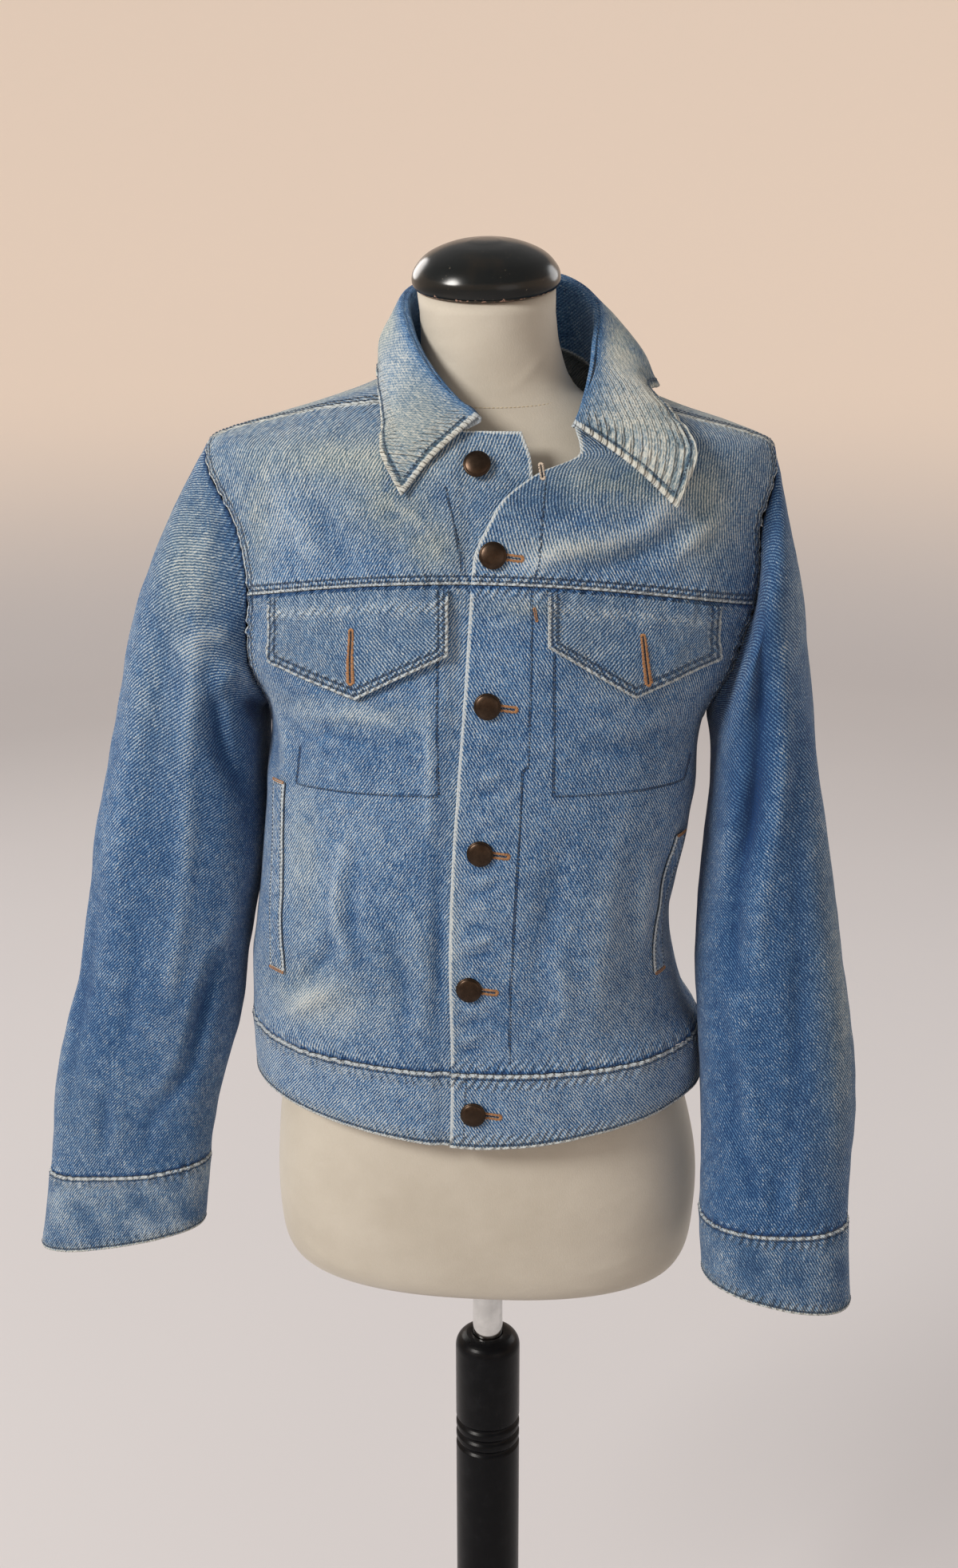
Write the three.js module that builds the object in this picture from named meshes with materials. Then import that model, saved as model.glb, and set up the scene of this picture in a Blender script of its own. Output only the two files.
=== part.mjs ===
// A denim jacket on a limbless dress form with a pole stand.
// Millimetres, +Z up. The origin is on the floor under the pole, and the front faces -Y.
// "Left" and "right" are the viewer's: left is -X, right is +X. The right front laps over the left one.
import * as THREE from "three";

// ---- Driving sizes --------------------------------------------------------------------------------
const GAP = 0.3; // between pieces that are sewn or rest together
const CLOTH = 1.8; // one wall of denim, with its turnings
const DOUBLE_CLOTH = 2.4; // waistband, cuffs and collar, sewn double
const FLAP_CLOTH = 1.6;
const LAP_DEPTH = CLOTH + 2 * GAP; // how far the left front lies under the right one
const LAP_SLOPE = 16; // the width over which the left front goes down under the right one

const LEVEL = { hem: 840, waistband: 885, armpit: 1135, yoke: 1218, tip: 1334, neck: 1377 };
const SIDE_SEAM = 93; // degrees round from the centre front
// The shoulder seam lies in front of the top of the shoulder, more so beside the neck.
const SHOULDER_SEAM = { tip: 82, neck: 68 };

const BUTTON = { radius: 9.6, rim: 2.2, dome: 4.2 };
const CUFF_BUTTON = { radius: 6.5, rim: 1.8, dome: 3.2 };

const POLE = { radius: 12.7, bottom: 250, top: 760 };
const POST = { radius: 27.5, bottom: 16, top: 581, bore: 13.2, boreBottom: 215, shoulder: 12 };
const POST_FOOT = { radius: 42, height: 18 };
const GROOVES = { first: 476, pitch: 11, count: 3, depth: 2.4, width: 7 };
const BASE = { radius: 190, edge: 7, rise: 50 };
const SOCKET = { radius: 13.2, top: 763 };

// ---- Small helpers --------------------------------------------------------------------------------
const rad = THREE.MathUtils.degToRad;
const vector = (x, y, z) => new THREE.Vector3(x, y, z);
const mix = THREE.MathUtils.lerp;
const smooth = (value, from, to) => THREE.MathUtils.smoothstep(value, from, to);
const steps = (count) => Array.from({ length: count + 1 }, (_, i) => i / count);

// A smooth curve through a table's rows: the value of one column where another has the value `at`.
function column(table, key, name, at) {
  const last = table.length - 1;
  let k = 0;
  while (k < last - 1 && at > table[k + 1][key]) k += 1;
  const [a, b] = [table[k], table[k + 1]];
  const span = b[key] - a[key];
  const t = THREE.MathUtils.clamp((at - a[key]) / span, 0, 1);
  const before = table[Math.max(k - 1, 0)];
  const after = table[Math.min(k + 2, last)];
  const slopeA = ((b[name] - before[name]) / (b[key] - before[key])) * span;
  const slopeB = ((after[name] - a[name]) / (after[key] - a[key])) * span;
  const t2 = t * t;
  const t3 = t2 * t;
  return (
    (2 * t3 - 3 * t2 + 1) * a[name] +
    (t3 - 2 * t2 + t) * slopeA +
    (3 * t2 - 2 * t3) * b[name] +
    (t3 - t2) * slopeB
  );
}

// Turns short rows of numbers into objects with the named columns.
function named(columns, rows) {
  const names = columns.split(" ");
  return rows.map((row) => Object.fromEntries(names.map((name, i) => [name, row[i]])));
}

const power = (value, exponent) => Math.sign(value) * Math.abs(value) ** exponent;

// ---- Materials ------------------------------------------------------------------------------------
const material = (color, roughness, metalness = 0) =>
  new THREE.MeshStandardMaterial({ color, roughness, metalness });
const denim = material(0x6d8fb8, 0.9);
const wornDenim = material(0x8ba3bb, 0.9);
const bronze = material(0x4a3d30, 0.35, 0.9);
const jersey = material(0xe6dcc4, 0.85);
const blackLacquer = material(0x1d2220, 0.3);
const blackPaint = material(0x17181a, 0.4);
const chrome = material(0xd8d8d8, 0.12, 1);

// ---- Solids ---------------------------------------------------------------------------------------
const jacketOnForm = new THREE.Group();

// Turns the faces round if they point inwards.
function facingOut(points, triangles) {
  let volume = 0;
  for (let i = 0; i < triangles.length; i += 3) {
    const [a, b, c] = [points[triangles[i]], points[triangles[i + 1]], points[triangles[i + 2]]];
    volume += a.dot(vector().crossVectors(b, c));
  }
  if (volume > 0) return triangles;
  return triangles.map((_, i) => triangles[i - (i % 3) + (2 - (i % 3))]);
}

function addMesh(name, points, triangles, look) {
  const geometry = new THREE.BufferGeometry();
  geometry.setAttribute("position", new THREE.Float32BufferAttribute(points.flatMap((p) => p.toArray()), 3));
  geometry.setIndex(facingOut(points, triangles));
  const mesh = new THREE.Mesh(geometry, look);
  mesh.name = name;
  jacketOnForm.add(mesh);
}

// A wall of cloth. `outer` and `inner` are grids of points, rows of equal length;
// with `wraps` the last point of a row joins the first, so that the wall is a tube.
function addWall(name, outer, inner, look, wraps = false) {
  const rows = outer.length;
  const across = outer[0].length;
  const points = [...outer.flat(), ...inner.flat()];
  const triangles = [];
  const index = (side, row, place) => side * rows * across + row * across + (place % across);
  const quad = (a, b, c, d) => triangles.push(a, b, c, a, c, d);
  const cells = wraps ? across : across - 1;
  for (let r = 0; r < rows - 1; r += 1) {
    for (let c = 0; c < cells; c += 1) {
      quad(index(0, r, c), index(0, r, c + 1), index(0, r + 1, c + 1), index(0, r + 1, c));
      quad(index(1, r, c), index(1, r + 1, c), index(1, r + 1, c + 1), index(1, r, c + 1));
    }
    if (!wraps) {
      const end = across - 1;
      quad(index(0, r, 0), index(0, r + 1, 0), index(1, r + 1, 0), index(1, r, 0));
      quad(index(0, r, end), index(1, r, end), index(1, r + 1, end), index(0, r + 1, end));
    }
  }
  for (let c = 0; c < cells; c += 1) {
    const top = rows - 1;
    quad(index(0, 0, c), index(1, 0, c), index(1, 0, c + 1), index(0, 0, c + 1));
    quad(index(0, top, c), index(0, top, c + 1), index(1, top, c + 1), index(1, top, c));
  }
  addMesh(name, points, triangles, look);
}

// A closed body through rings of points, each end closed by a fan to its own middle.
function addRings(name, rings, look) {
  const around = rings[0].length;
  const middle = (ring) => ring.reduce((sum, p) => sum.add(p), vector(0, 0, 0)).divideScalar(around);
  const points = [...rings.flat(), middle(rings[0]), middle(rings[rings.length - 1])];
  const triangles = [];
  const index = (ring, place) => ring * around + (place % around);
  const [first, last] = [rings.length * around, rings.length * around + 1];
  for (let place = 0; place < around; place += 1) {
    for (let ring = 0; ring < rings.length - 1; ring += 1) {
      const [a, b] = [index(ring, place), index(ring, place + 1)];
      const [c, d] = [index(ring + 1, place + 1), index(ring + 1, place)];
      triangles.push(a, b, c, a, c, d);
    }
    triangles.push(first, index(0, place + 1), index(0, place));
    triangles.push(last, index(rings.length - 1, place), index(rings.length - 1, place + 1));
  }
  addMesh(name, points, triangles, look);
}

// ---- The jacket's body as one smooth surface ------------------------------------------------------
// A ring of the body goes round at each level. A level is named by its height at the sides, `side`.
// Up to the armpit the rings are level; above it their sides climb over the shoulders to the neckline.
// `climb` says how late the front of a ring climbs to its sides.
const BODY = named("side front back left right fore aft power climb", [
  [840, 820, 833, 188, 171, 123, 105, 2.2, 1.3],
  [885, 881, 886, 188, 169, 122, 102, 2.3, 1.8],
  [912, 909, 912, 187, 155, 122, 101, 2.3, 2],
  [965, 965, 966, 183, 145, 122, 97, 2.3, 2],
  [1005, 1006, 1006, 178, 148, 121, 97, 2.3, 2],
  [1070, 1074, 1070, 171, 158, 120, 102, 2.3, 2],
  [1135, 1146, 1137, 167, 167, 118, 108, 2.2, 2],
  [1175, 1195, 1182, 192, 192, 115, 111, 2.1, 2],
  [1218, 1244, 1232, 203, 207, 112, 111, 2.0, 2],
  [1270, 1281, 1288, 206, 208, 105, 106, 2.0, 2],
  [1334, 1319, 1351, 207, 207, 97, 98, 2.0, 2],
  [1357, 1333, 1377, 140, 145, 90, 89, 2.2, 3.5],
  [1377, 1347, 1405, 70, 84, 84, 78, 2.6, 8],
]);

// `turn` is in degrees round from the centre front, positive to the right.
function body(turn, level) {
  const row = (name) => column(BODY, "side", name, level);
  const [sine, cosine] = [Math.sin(rad(turn)), Math.cos(rad(turn))];
  const round = 2 / row("power");
  const x = power(sine, round) * (sine < 0 ? row("left") : row("right"));
  const y = power(cosine, round) * (cosine < 0 ? row("aft") : row("fore"));
  const end = cosine < 0 ? row("back") : row("front");
  const climb = cosine < 0 ? 2 : row("climb");
  return vector(x, -y, mix(end, level, Math.abs(sine) ** climb));
}

function outward(surface, a, b) {
  const [stepA, stepB] = [0.5, 0.8];
  const alongA = surface(a + stepA, b).sub(surface(a - stepA, b));
  const alongB = surface(a, b + stepB).sub(surface(a, b - stepB));
  return alongA.cross(alongB).normalize();
}

const bodyLifted = (turn, level, lift) =>
  body(turn, level).addScaledVector(outward(body, turn, Math.min(level, LEVEL.neck - 1)), lift);

// The turn at which the body has a given x at a level.
function turnAt(x, level) {
  const width = column(BODY, "side", x < 0 ? "left" : "right", level);
  const exponent = column(BODY, "side", "power", level) / 2;
  return THREE.MathUtils.radToDeg(Math.asin(power(x / width, exponent)));
}

// The turn and the level of the point on the front that has a given x and height.
function placeAt(x, height) {
  let level = height;
  for (let pass = 0; pass < 12; pass += 1) level += height - body(turnAt(x, level), level).z;
  return { turn: turnAt(x, level), level };
}

// Where each front ends: x of its free edge at a level.
const RIGHT_EDGE = named("level x", [
  [840, -18], [885, -17], [970, -18], [1035, -16], [1090, -12], [1150, -7], [1218, -2],
  [1245, 0], [1275, 9], [1305, 20], [1334, 44], [1348, 68], [1362, 70], [1377, 66],
]);
const LEFT_EDGE = named("level x", [
  [840, 24], [885, 25], [1035, 27], [1218, 38], [1300, 40], [1350, 38], [1377, 31],
]);
const edgeTurn = (table, level) => turnAt(column(table, "level", "x", level), level);

// The armholes: turns of the seam in front and behind at each level, from the armpit to the tip.
const ARMHOLE = named("level left right behind", [
  [1135, 93, 93, 93],
  [1141, 82, 84, 101],
  [1152, 73, 78, 108],
  [1172, 65, 73.5, 116],
  [1195, 60, 71.5, 121],
  [1218, 57, 72.5, 123],
  [1245, 57, 73, 122],
  [1272, 60, 73.5, 119],
  [1298, 65.5, 75, 113],
  [1316, 72, 78, 105],
  [1328, 78, 80.5, 94],
  [1334, 82, 82, 82],
]);
const armholeLevels = ARMHOLE.map((row) => row.level);

const shoulderSeam = (level) =>
  mix(SHOULDER_SEAM.tip, SHOULDER_SEAM.neck, (level - LEVEL.tip) / (LEVEL.neck - LEVEL.tip));

// The turn of the front panel's outer side: side seam, armhole, then shoulder seam.
function frontSide(side, level) {
  if (level <= LEVEL.armpit) return SIDE_SEAM;
  if (level >= LEVEL.tip) return shoulderSeam(level);
  return column(ARMHOLE, "level", side, level);
}

function backSide(level) {
  if (level <= LEVEL.armpit) return SIDE_SEAM;
  if (level >= LEVEL.tip) return shoulderSeam(level);
  return column(ARMHOLE, "level", "behind", level);
}

// Rows of levels for the pieces; each piece stops GAP short of its neighbour.
const between = (from, to, count) => steps(count).map((t) => mix(from, to, t));
const inset = (levels) =>
  levels.map((level, i) => level + (i === 0 ? GAP / 2 : 0) - (i === levels.length - 1 ? GAP / 2 : 0));
const yokeRow = armholeLevels.indexOf(LEVEL.yoke);
const WAISTBAND_ROWS = inset([LEVEL.hem, 862, LEVEL.waistband]);
const LOWER_ROWS = inset([LEVEL.waistband, 900, 920, 942, 965, 990, 1030, 1080, 1115, ...armholeLevels.slice(0, yokeRow + 1)]);
const UPPER_ROWS = inset([...armholeLevels.slice(yokeRow), 1346, 1357, 1368, LEVEL.neck]);
const BACK_ROWS = inset([
  LEVEL.waistband, 900, 920, 942, 965, 990, 1030, 1080, 1115, ...armholeLevels, 1346, 1357, 1368, LEVEL.neck,
]);

// A piece of the body: `turnsAt` gives the turns of its columns at a level,
// and `sink` how far a point lies under the body's surface. Its seams keep half a gap.
function addBodyPiece(name, levels, turnsAt, thickness, look, sink = () => 0) {
  const grid = (depth) =>
    levels.map((level) => {
      const turns = turnsAt(level);
      const end = turns.length - 1;
      const seam = THREE.MathUtils.radToDeg(GAP / 2 / column(BODY, "side", "right", level));
      const inwards = seam * Math.sign(turns[end] - turns[0]);
      return turns.map((turn, i) => {
        const moved = turn + (i === 0 ? inwards : 0) - (i === end ? inwards : 0);
        return bodyLifted(moved, level, -depth - sink(moved, level));
      });
    });
  addWall(name, grid(0), grid(thickness), look);
}

// The left front goes down under the right front's edge.
const lapEdge = (level) => column(RIGHT_EDGE, "level", "x", Math.min(level, LEVEL.yoke + 27));
const lapSink = (turn, level) =>
  LAP_DEPTH * smooth(body(turn, level).x, lapEdge(level) - LAP_SLOPE, lapEdge(level) - 4);

const ACROSS = 10;
const rightTurns = (level) => between(edgeTurn(RIGHT_EDGE, level), frontSide("right", level), ACROSS);
function leftTurns(level) {
  const free = column(LEFT_EDGE, "level", "x", level);
  const lap = lapEdge(level);
  const slope = [free, lap - 4, lap - 7, lap - 10, lap - 13, lap - LAP_SLOPE].map((x) => turnAt(x, level));
  return [...slope, ...between(slope[slope.length - 1], -frontSide("left", level), ACROSS).slice(1)];
}
const backTurns = (level) => between(backSide(level), 360 - backSide(level), 2 * ACROSS);

addBodyPiece("front_right", LOWER_ROWS, rightTurns, CLOTH, denim);
addBodyPiece("front_left", LOWER_ROWS, leftTurns, CLOTH, denim, lapSink);
addBodyPiece("yoke_right", UPPER_ROWS, rightTurns, CLOTH, denim);
addBodyPiece("yoke_left", UPPER_ROWS, leftTurns, CLOTH, denim, lapSink);
addBodyPiece("back", BACK_ROWS, backTurns, CLOTH, denim);

// The waistband is thicker than the body above it and stands a little proud of it.
const BAND_PROUD = 0.3;
const bandSink = (turn, level) => lapSink(turn, level) * (DOUBLE_CLOTH / CLOTH) - BAND_PROUD;
addBodyPiece("waistband_right", WAISTBAND_ROWS, rightTurns, DOUBLE_CLOTH, wornDenim, () => -BAND_PROUD);
addBodyPiece("waistband_left", WAISTBAND_ROWS, leftTurns, DOUBLE_CLOTH, wornDenim, bandSink);
addBodyPiece("waistband_back", WAISTBAND_ROWS, backTurns, DOUBLE_CLOTH, wornDenim, () => -BAND_PROUD);

// ---- What lies on the fronts ----------------------------------------------------------------------
// A patch on the body; `placeOf` gives the turn and level of each of its points,
// which lie just off the cloth under them: the cloth's facets are coarser than the patch's.
const PATCH_LIFT = 0.8;
function addPatch(name, rows, across, thickness, look, placeOf) {
  const grid = (lift) =>
    steps(rows).map((down) =>
      steps(across).map((along) => {
        const place = placeOf(along, down);
        return bodyLifted(place.turn, place.level, PATCH_LIFT + lift);
      }),
    );
  return addWall(name, grid(thickness), grid(0), look);
}

// Pointed pocket flaps under the yoke seam: the corners' x, the sides' lengths and the point's.
const FLAP_TOP = 1244; // no higher than this, however high the yoke's seam runs
const FLAPS = named("name inner outer side point", [
  ["flap_left", -17, -150, 46, 76],
  ["flap_right", 51, 171, 38, 70],
]);
for (const flap of FLAPS) {
  addPatch(flap.name, 4, 8, FLAP_CLOTH, wornDenim, (along, down) => {
    const x = mix(flap.inner, flap.outer, along);
    const top = Math.min(body(turnAt(x, LEVEL.yoke), LEVEL.yoke).z, FLAP_TOP) - 3;
    const length = mix(flap.point, flap.side, Math.abs(2 * along - 1));
    return placeAt(x, top - down * length);
  });
}

// Slanted welts at the side pockets' mouths, placed by the turn of their middles.
const WELT_TURN = 7.6; // their width in degrees of turn, about 17 mm
const WELTS = named("name topTurn topLevel footTurn footLevel", [
  ["welt_left", -61, 1086, -54, 942],
  ["welt_right", 70, 1050, 64, 944],
]);
for (const welt of WELTS) {
  addPatch(welt.name, 6, 2, FLAP_CLOTH, wornDenim, (along, down) => ({
    turn: mix(welt.topTurn, welt.footTurn, down) + (along - 0.5) * WELT_TURN,
    level: mix(welt.topLevel, welt.footLevel, down),
  }));
}

// A shank button: a disc with a rounded rim and a low dome, seated on a surface.
function addButton(name, size, seat, direction) {
  const profile = [
    new THREE.Vector2(0, 0),
    new THREE.Vector2(size.radius * 0.93, 0),
    new THREE.Vector2(size.radius, size.rim * 0.5),
    new THREE.Vector2(size.radius * 0.95, size.rim),
    new THREE.Vector2(size.radius * 0.6, mix(size.rim, size.dome, 0.72)),
    new THREE.Vector2(0, size.dome),
  ];
  const geometry = new THREE.LatheGeometry(profile, 14);
  geometry.deleteAttribute("normal");
  geometry.deleteAttribute("uv");
  const mesh = new THREE.Mesh(geometry, bronze);
  mesh.name = name;
  mesh.quaternion.setFromUnitVectors(vector(0, 1, 0), direction);
  mesh.position.copy(seat);
  jacketOnForm.add(mesh);
}

const FRONT_BUTTONS = named("name x height lift", [
  ["button_1", 1, 1324, 0],
  ["button_2", 13, 1264, GAP],
  ["button_3", 10, 1160, GAP],
  ["button_4", 5, 1053, GAP],
  ["button_5", -3, 949, GAP],
  ["button_6", 0, 850, GAP + 0.3],
]);
for (const button of FRONT_BUTTONS) {
  const place = placeAt(button.x, button.height);
  const direction = outward(body, place.turn, place.level);
  const seat = bodyLifted(place.turn, place.level, button.lift + GAP);
  addButton(button.name, BUTTON, seat, direction);
}

// ---- Sleeves --------------------------------------------------------------------------------------
// Each sleeve is a tube from its armhole through slanting sections, the last of them the cuff's hem.
// A section has an outer and an inner point in x and height, its middle's y and its half-depth.
const SECTION_COLUMNS = "outerX outerZ innerX innerZ y depth";
const SLEEVES = [
  {
    side: "left",
    sign: -1,
    sections: named(SECTION_COLUMNS, [
      [-237, 1281, -171, 1112, -4, 68],
      [-262, 1216, -173, 1080, -4, 66],
      [-290, 1120, -174.5, 1040, -6, 61],
      [-311, 1020, -182, 985, -9, 55],
      [-332, 900, -198, 890, -17, 46],
      [-354, 805, -219, 808, -26, 37],
      [-361, 740, -227, 757, -31, 31],
      [-370, 670, -235, 697, -34, 28],
    ]),
  },
  {
    side: "right",
    sign: 1,
    sections: named(SECTION_COLUMNS, [
      [220, 1279, 171, 1112, -6, 68],
      [234, 1213, 170, 1080, -8, 66],
      [245, 1130, 167, 1045, -12, 61],
      [260, 1035, 166, 1005, -21, 57],
      [275, 955, 164, 945, -33, 53],
      [286, 865, 169, 855, -49, 48],
      [288, 795, 171, 790, -60, 45],
      [287, 751, 173, 752, -70, 42],
      [290, 682, 177, 703, -78, 40],
    ]),
  },
];
const OUTER_SEAM = 310; // degrees round the sleeve: 0 outer, 90 front, 180 inner, 270 behind
const INNER_SEAM = 205;

// The armhole as a loop of body points from the tip, down the front, and up behind.
function armholeLoop(side, sign) {
  const stand = 0.9; // the sleeve's head stands this far out from the seam
  const lift = (turn, level) => bodyLifted(sign * turn, level, -0.1);
  const down = [...ARMHOLE].reverse();
  const front = down.map((row) => ({ row, turn: row[side] }));
  const behind = ARMHOLE.slice(1, -1).map((row) => ({ row, turn: row.behind }));
  const loop = [...front, ...behind].map(({ row, turn }) => lift(turn, row.level));
  const middle = loop.reduce((sum, p) => sum.add(p), vector(0, 0, 0)).divideScalar(loop.length);
  return loop.map((p) => {
    const inwards = middle.clone().sub(p).setX(0).normalize();
    return p.addScaledVector(inwards, stand).add(vector(sign * stand * 0.4, 0, 0));
  });
}

// The angle of each point of the loop: its share of the way down the front or up behind.
function loopAngles(loop, bottom) {
  const lengths = loop.map((p, i) => p.distanceTo(loop[(i + 1) % loop.length]));
  const sum = (list) => list.reduce((total, length) => total + length, 0);
  const [front, behind] = [sum(lengths.slice(0, bottom)), sum(lengths.slice(bottom))];
  return loop.map((_, i) =>
    i <= bottom
      ? (180 * sum(lengths.slice(0, i))) / front
      : 180 + (180 * sum(lengths.slice(bottom, i))) / behind,
  );
}

function sectionPoint(section, angle) {
  const [cosine, sine] = [Math.cos(rad(angle)), Math.sin(rad(angle))];
  const across = (1 + power(cosine, 0.9)) / 2;
  return vector(
    mix(section.innerX, section.outerX, across),
    section.y - power(sine, 0.9) * section.depth,
    mix(section.innerZ, section.outerZ, across),
  );
}

// The sleeve's surface at a column of the loop; `along` counts sections, with the armhole at 0.
function sleeveSurface(sleeve) {
  const loop = armholeLoop(sleeve.side, sleeve.sign);
  const bottom = ARMHOLE.length - 1;
  const angles = loopAngles(loop, bottom);
  const curves = loop.map(
    (start, i) =>
      new THREE.CatmullRomCurve3(
        [start, ...sleeve.sections.map((section) => sectionPoint(section, angles[i]))],
        false,
        "catmullrom",
        0.5,
      ),
  );
  const count = sleeve.sections.length;
  const pointAt = (place, along) => {
    const around = curves.length;
    return curves[((place % around) + around) % around].getPoint(along / count);
  };
  // Out from the sleeve's middle, square to its surface
  const normalAt = (place, along) => {
    const [low, high] = [Math.max(along - 0.1, 0), Math.min(along + 0.1, count)];
    const down = pointAt(place, high).sub(pointAt(place, low));
    const round = pointAt(place + 1, along).sub(pointAt(place - 1, along));
    return round.cross(down).normalize().multiplyScalar(sleeve.sign);
  };
  return { angles, count, pointAt, normalAt };
}

for (const sleeve of SLEEVES) {
  const surface = sleeveSurface(sleeve);
  const around = surface.angles.length;
  const nearest = (angle) =>
    surface.angles.reduce((best, a, i) => (Math.abs(a - angle) < Math.abs(surface.angles[best] - angle) ? i : best), 0);
  const [outerSeam, innerSeam] = [nearest(OUTER_SEAM), nearest(INNER_SEAM)];
  const cuffStart = surface.count - 1;
  const seamShift = GAP / 2;

  // One wall between two columns, each edge moved aside by half the seam's gap.
  const addSleevePiece = (name, from, to, rows, thickness, look) => {
    const columns = Array.from({ length: to - from + 1 }, (_, i) => from + i);
    const grid = (depth) =>
      rows.map((along) =>
        columns.map((place, i) => {
          const point = surface.pointAt(place, along);
          const side = surface.pointAt(place + 1, along).sub(surface.pointAt(place - 1, along)).normalize();
          const shift = i === 0 ? seamShift : i === columns.length - 1 ? -seamShift : 0;
          return point
            .addScaledVector(side, shift)
            .addScaledVector(surface.normalAt(place, along), -depth);
        }),
      );
    addWall(name, grid(0), grid(thickness), look);
  };
  const cuffGap = 0.004;
  const sleeveRows = [0, 0.3, 0.65, ...between(1, cuffStart, (cuffStart - 1) * 2)];
  sleeveRows[sleeveRows.length - 1] = cuffStart - cuffGap;
  addSleevePiece(`sleeve_top_${sleeve.side}`, outerSeam - around, innerSeam, sleeveRows, CLOTH, denim);
  addSleevePiece(`sleeve_under_${sleeve.side}`, innerSeam, outerSeam, sleeveRows, CLOTH, denim);

  // The cuff is one band round the wrist.
  const cuffRows = [cuffStart + cuffGap, cuffStart + 0.5, surface.count];
  const cuffGrid = (lift) =>
    cuffRows.map((along) =>
      steps(around - 1).map((t) => {
        const place = Math.round(t * (around - 1));
        return surface.pointAt(place, along).addScaledVector(surface.normalAt(place, along), lift);
      }),
    );
  addWall(`cuff_${sleeve.side}`, cuffGrid(0.3), cuffGrid(0.3 - DOUBLE_CLOTH), wornDenim, true);

  // The cuff's button sits beside its opening, on the outer back.
  const buttonColumn = nearest(OUTER_SEAM + 20);
  const along = cuffStart + 0.5;
  const direction = surface.normalAt(buttonColumn, along);
  const seat = surface.pointAt(buttonColumn, along).addScaledVector(direction, 0.3 + 1.2);
  addButton(`cuff_button_${sleeve.side}`, CUFF_BUTTON, seat, direction);
}

// ---- Collar ---------------------------------------------------------------------------------------
// One piece: it stands up from the neckline, folds over and comes down on the shoulders.
// `turn` is where it is sewn to the neckline; the fold is given in space, and the outer edge
// by its turn and level on the body and how far it lies off it. `bow` rounds the leaf outwards.
const COLLAR = named("turn foldX foldY foldZ edgeTurn edgeLevel lift bow", [
  [-4, 1, -84, 1353, -13.5, 1304, 5, 1],
  [-22, -17, -76, 1366, -20, 1345, 4, 2],
  [-48, -37, -60, 1387, -42, 1371, 4, 3],
  [-72, -53, -28, 1412, -72, 1375.5, 3, 2],
  [-98, -59, 12, 1432, -98, 1374, 4, 4],
  [-138, -42, 60, 1443, -140, 1363, 5, 5],
  [-180, 4, 74, 1446, -180, 1362, 5, 5],
  [-222, 48, 64, 1445, -220, 1362, 5, 5],
  [-262, 76, 28, 1426, -262, 1365, 6, 5],
  [-285, 78, -12, 1397, -282, 1366, 7, 3],
  [-298, 76, -42, 1377, -298, 1356, 8.5, 3],
  [-306, 71, -67, 1358, -315, 1334, 10, 4],
  [-311, 67, -79, 1348, -320.5, 1292, 8, 2],
]);
const COLLAR_STATIONS = 40;

function collarCurve(pick) {
  return new THREE.CatmullRomCurve3(COLLAR.map(pick), false, "centripetal");
}

function addCollar() {
  // The stand rises just inside the neckline, a little above it.
  const seam = collarCurve((row) => {
    const onNeckline = body(row.turn, LEVEL.neck);
    const inwards = onNeckline.clone().setZ(0).normalize().multiplyScalar(-DOUBLE_CLOTH);
    return onNeckline.add(inwards).add(vector(0, 0, 3 * GAP));
  });
  const fold = collarCurve((row) => vector(row.foldX, row.foldY, row.foldZ));
  const edge = collarCurve((row) => bodyLifted(row.edgeTurn, row.edgeLevel, row.lift));
  const bow = collarCurve((row) => vector(row.bow, 0, 0));
  const profile = steps(COLLAR_STATIONS).map((t) => {
    const [low, top, out] = [seam.getPoint(t), fold.getPoint(t), edge.getPoint(t)];
    const away = out.clone().sub(low).setZ(0).normalize();
    const up = vector(0, 0, 1);
    const stand = mix(0.35, 1, smooth(top.z - low.z, 0, 30));
    return [
      low,
      low.clone().lerp(top, 0.55),
      top.clone().addScaledVector(away, -0.6 * stand),
      top.clone().addScaledVector(away, 1.6 * stand).addScaledVector(up, 2.2 * stand),
      top.clone().addScaledVector(away, 4.6 * stand).addScaledVector(up, 0.8 * stand),
      top.clone().lerp(out, 0.5).addScaledVector(away, 4 + bow.getPoint(t).x),
      out,
    ];
  });
  const inner = profile.map((line) =>
    line.map((point, i) => {
      const [before, after] = [line[Math.max(i - 1, 0)], line[Math.min(i + 1, line.length - 1)]];
      const away = line[line.length - 1].clone().sub(line[0]).setZ(0).normalize();
      const level = vector(-away.y, away.x, 0);
      const square = after.clone().sub(before).cross(level).normalize();
      return point.clone().addScaledVector(square, DOUBLE_CLOTH);
    }),
  );
  addWall("collar", profile, inner, wornDenim);
}
addCollar();

// ---- Dress form -----------------------------------------------------------------------------------
// Rings from the socket's inner end, out under the form, up its sides and in to the neck's top.
const FORM = named("z middle across fore aft power", [
  [671, 0, 30, 26, 26, 2],
  [666, 0, 112, 68, 64, 2.2],
  [671, -1, 150, 90, 85, 2.4],
  [685, -1, 165, 101, 93, 2.5],
  [715, -1, 171, 106, 96, 2.4],
  [765, -1, 171, 107, 96, 2.4],
  [830, -5, 160, 103, 92, 2.3],
  [900, -6, 139, 96, 84, 2.3],
  [965, -8, 126, 93, 78, 2.2],
  [1040, -4, 136, 100, 82, 2.2],
  [1130, 0, 150, 105, 92, 2.2],
  [1220, 2, 160, 98, 96, 2.2],
  [1290, 2, 165, 84, 88, 2.1],
  [1318, 2, 156, 72, 80, 2.0],
  [1338, 4, 122, 61, 74, 1.9],
  [1356, 6, 84, 53, 68, 2.0],
  [1374, 5, 58, 50, 58, 2.1],
  [1400, 2, 50.5, 50, 50, 2.0],
  [1424, 0, 49, 50, 46, 2.0],
]);
const FORM_AROUND = 40;
const NECK_TILT = -14; // degrees: the top of the neck and its cap slope down to the front
const NECK_TOP = { x: -1, y: 0, z: 1441, radiusX: 50, radiusY: 47 };

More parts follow.
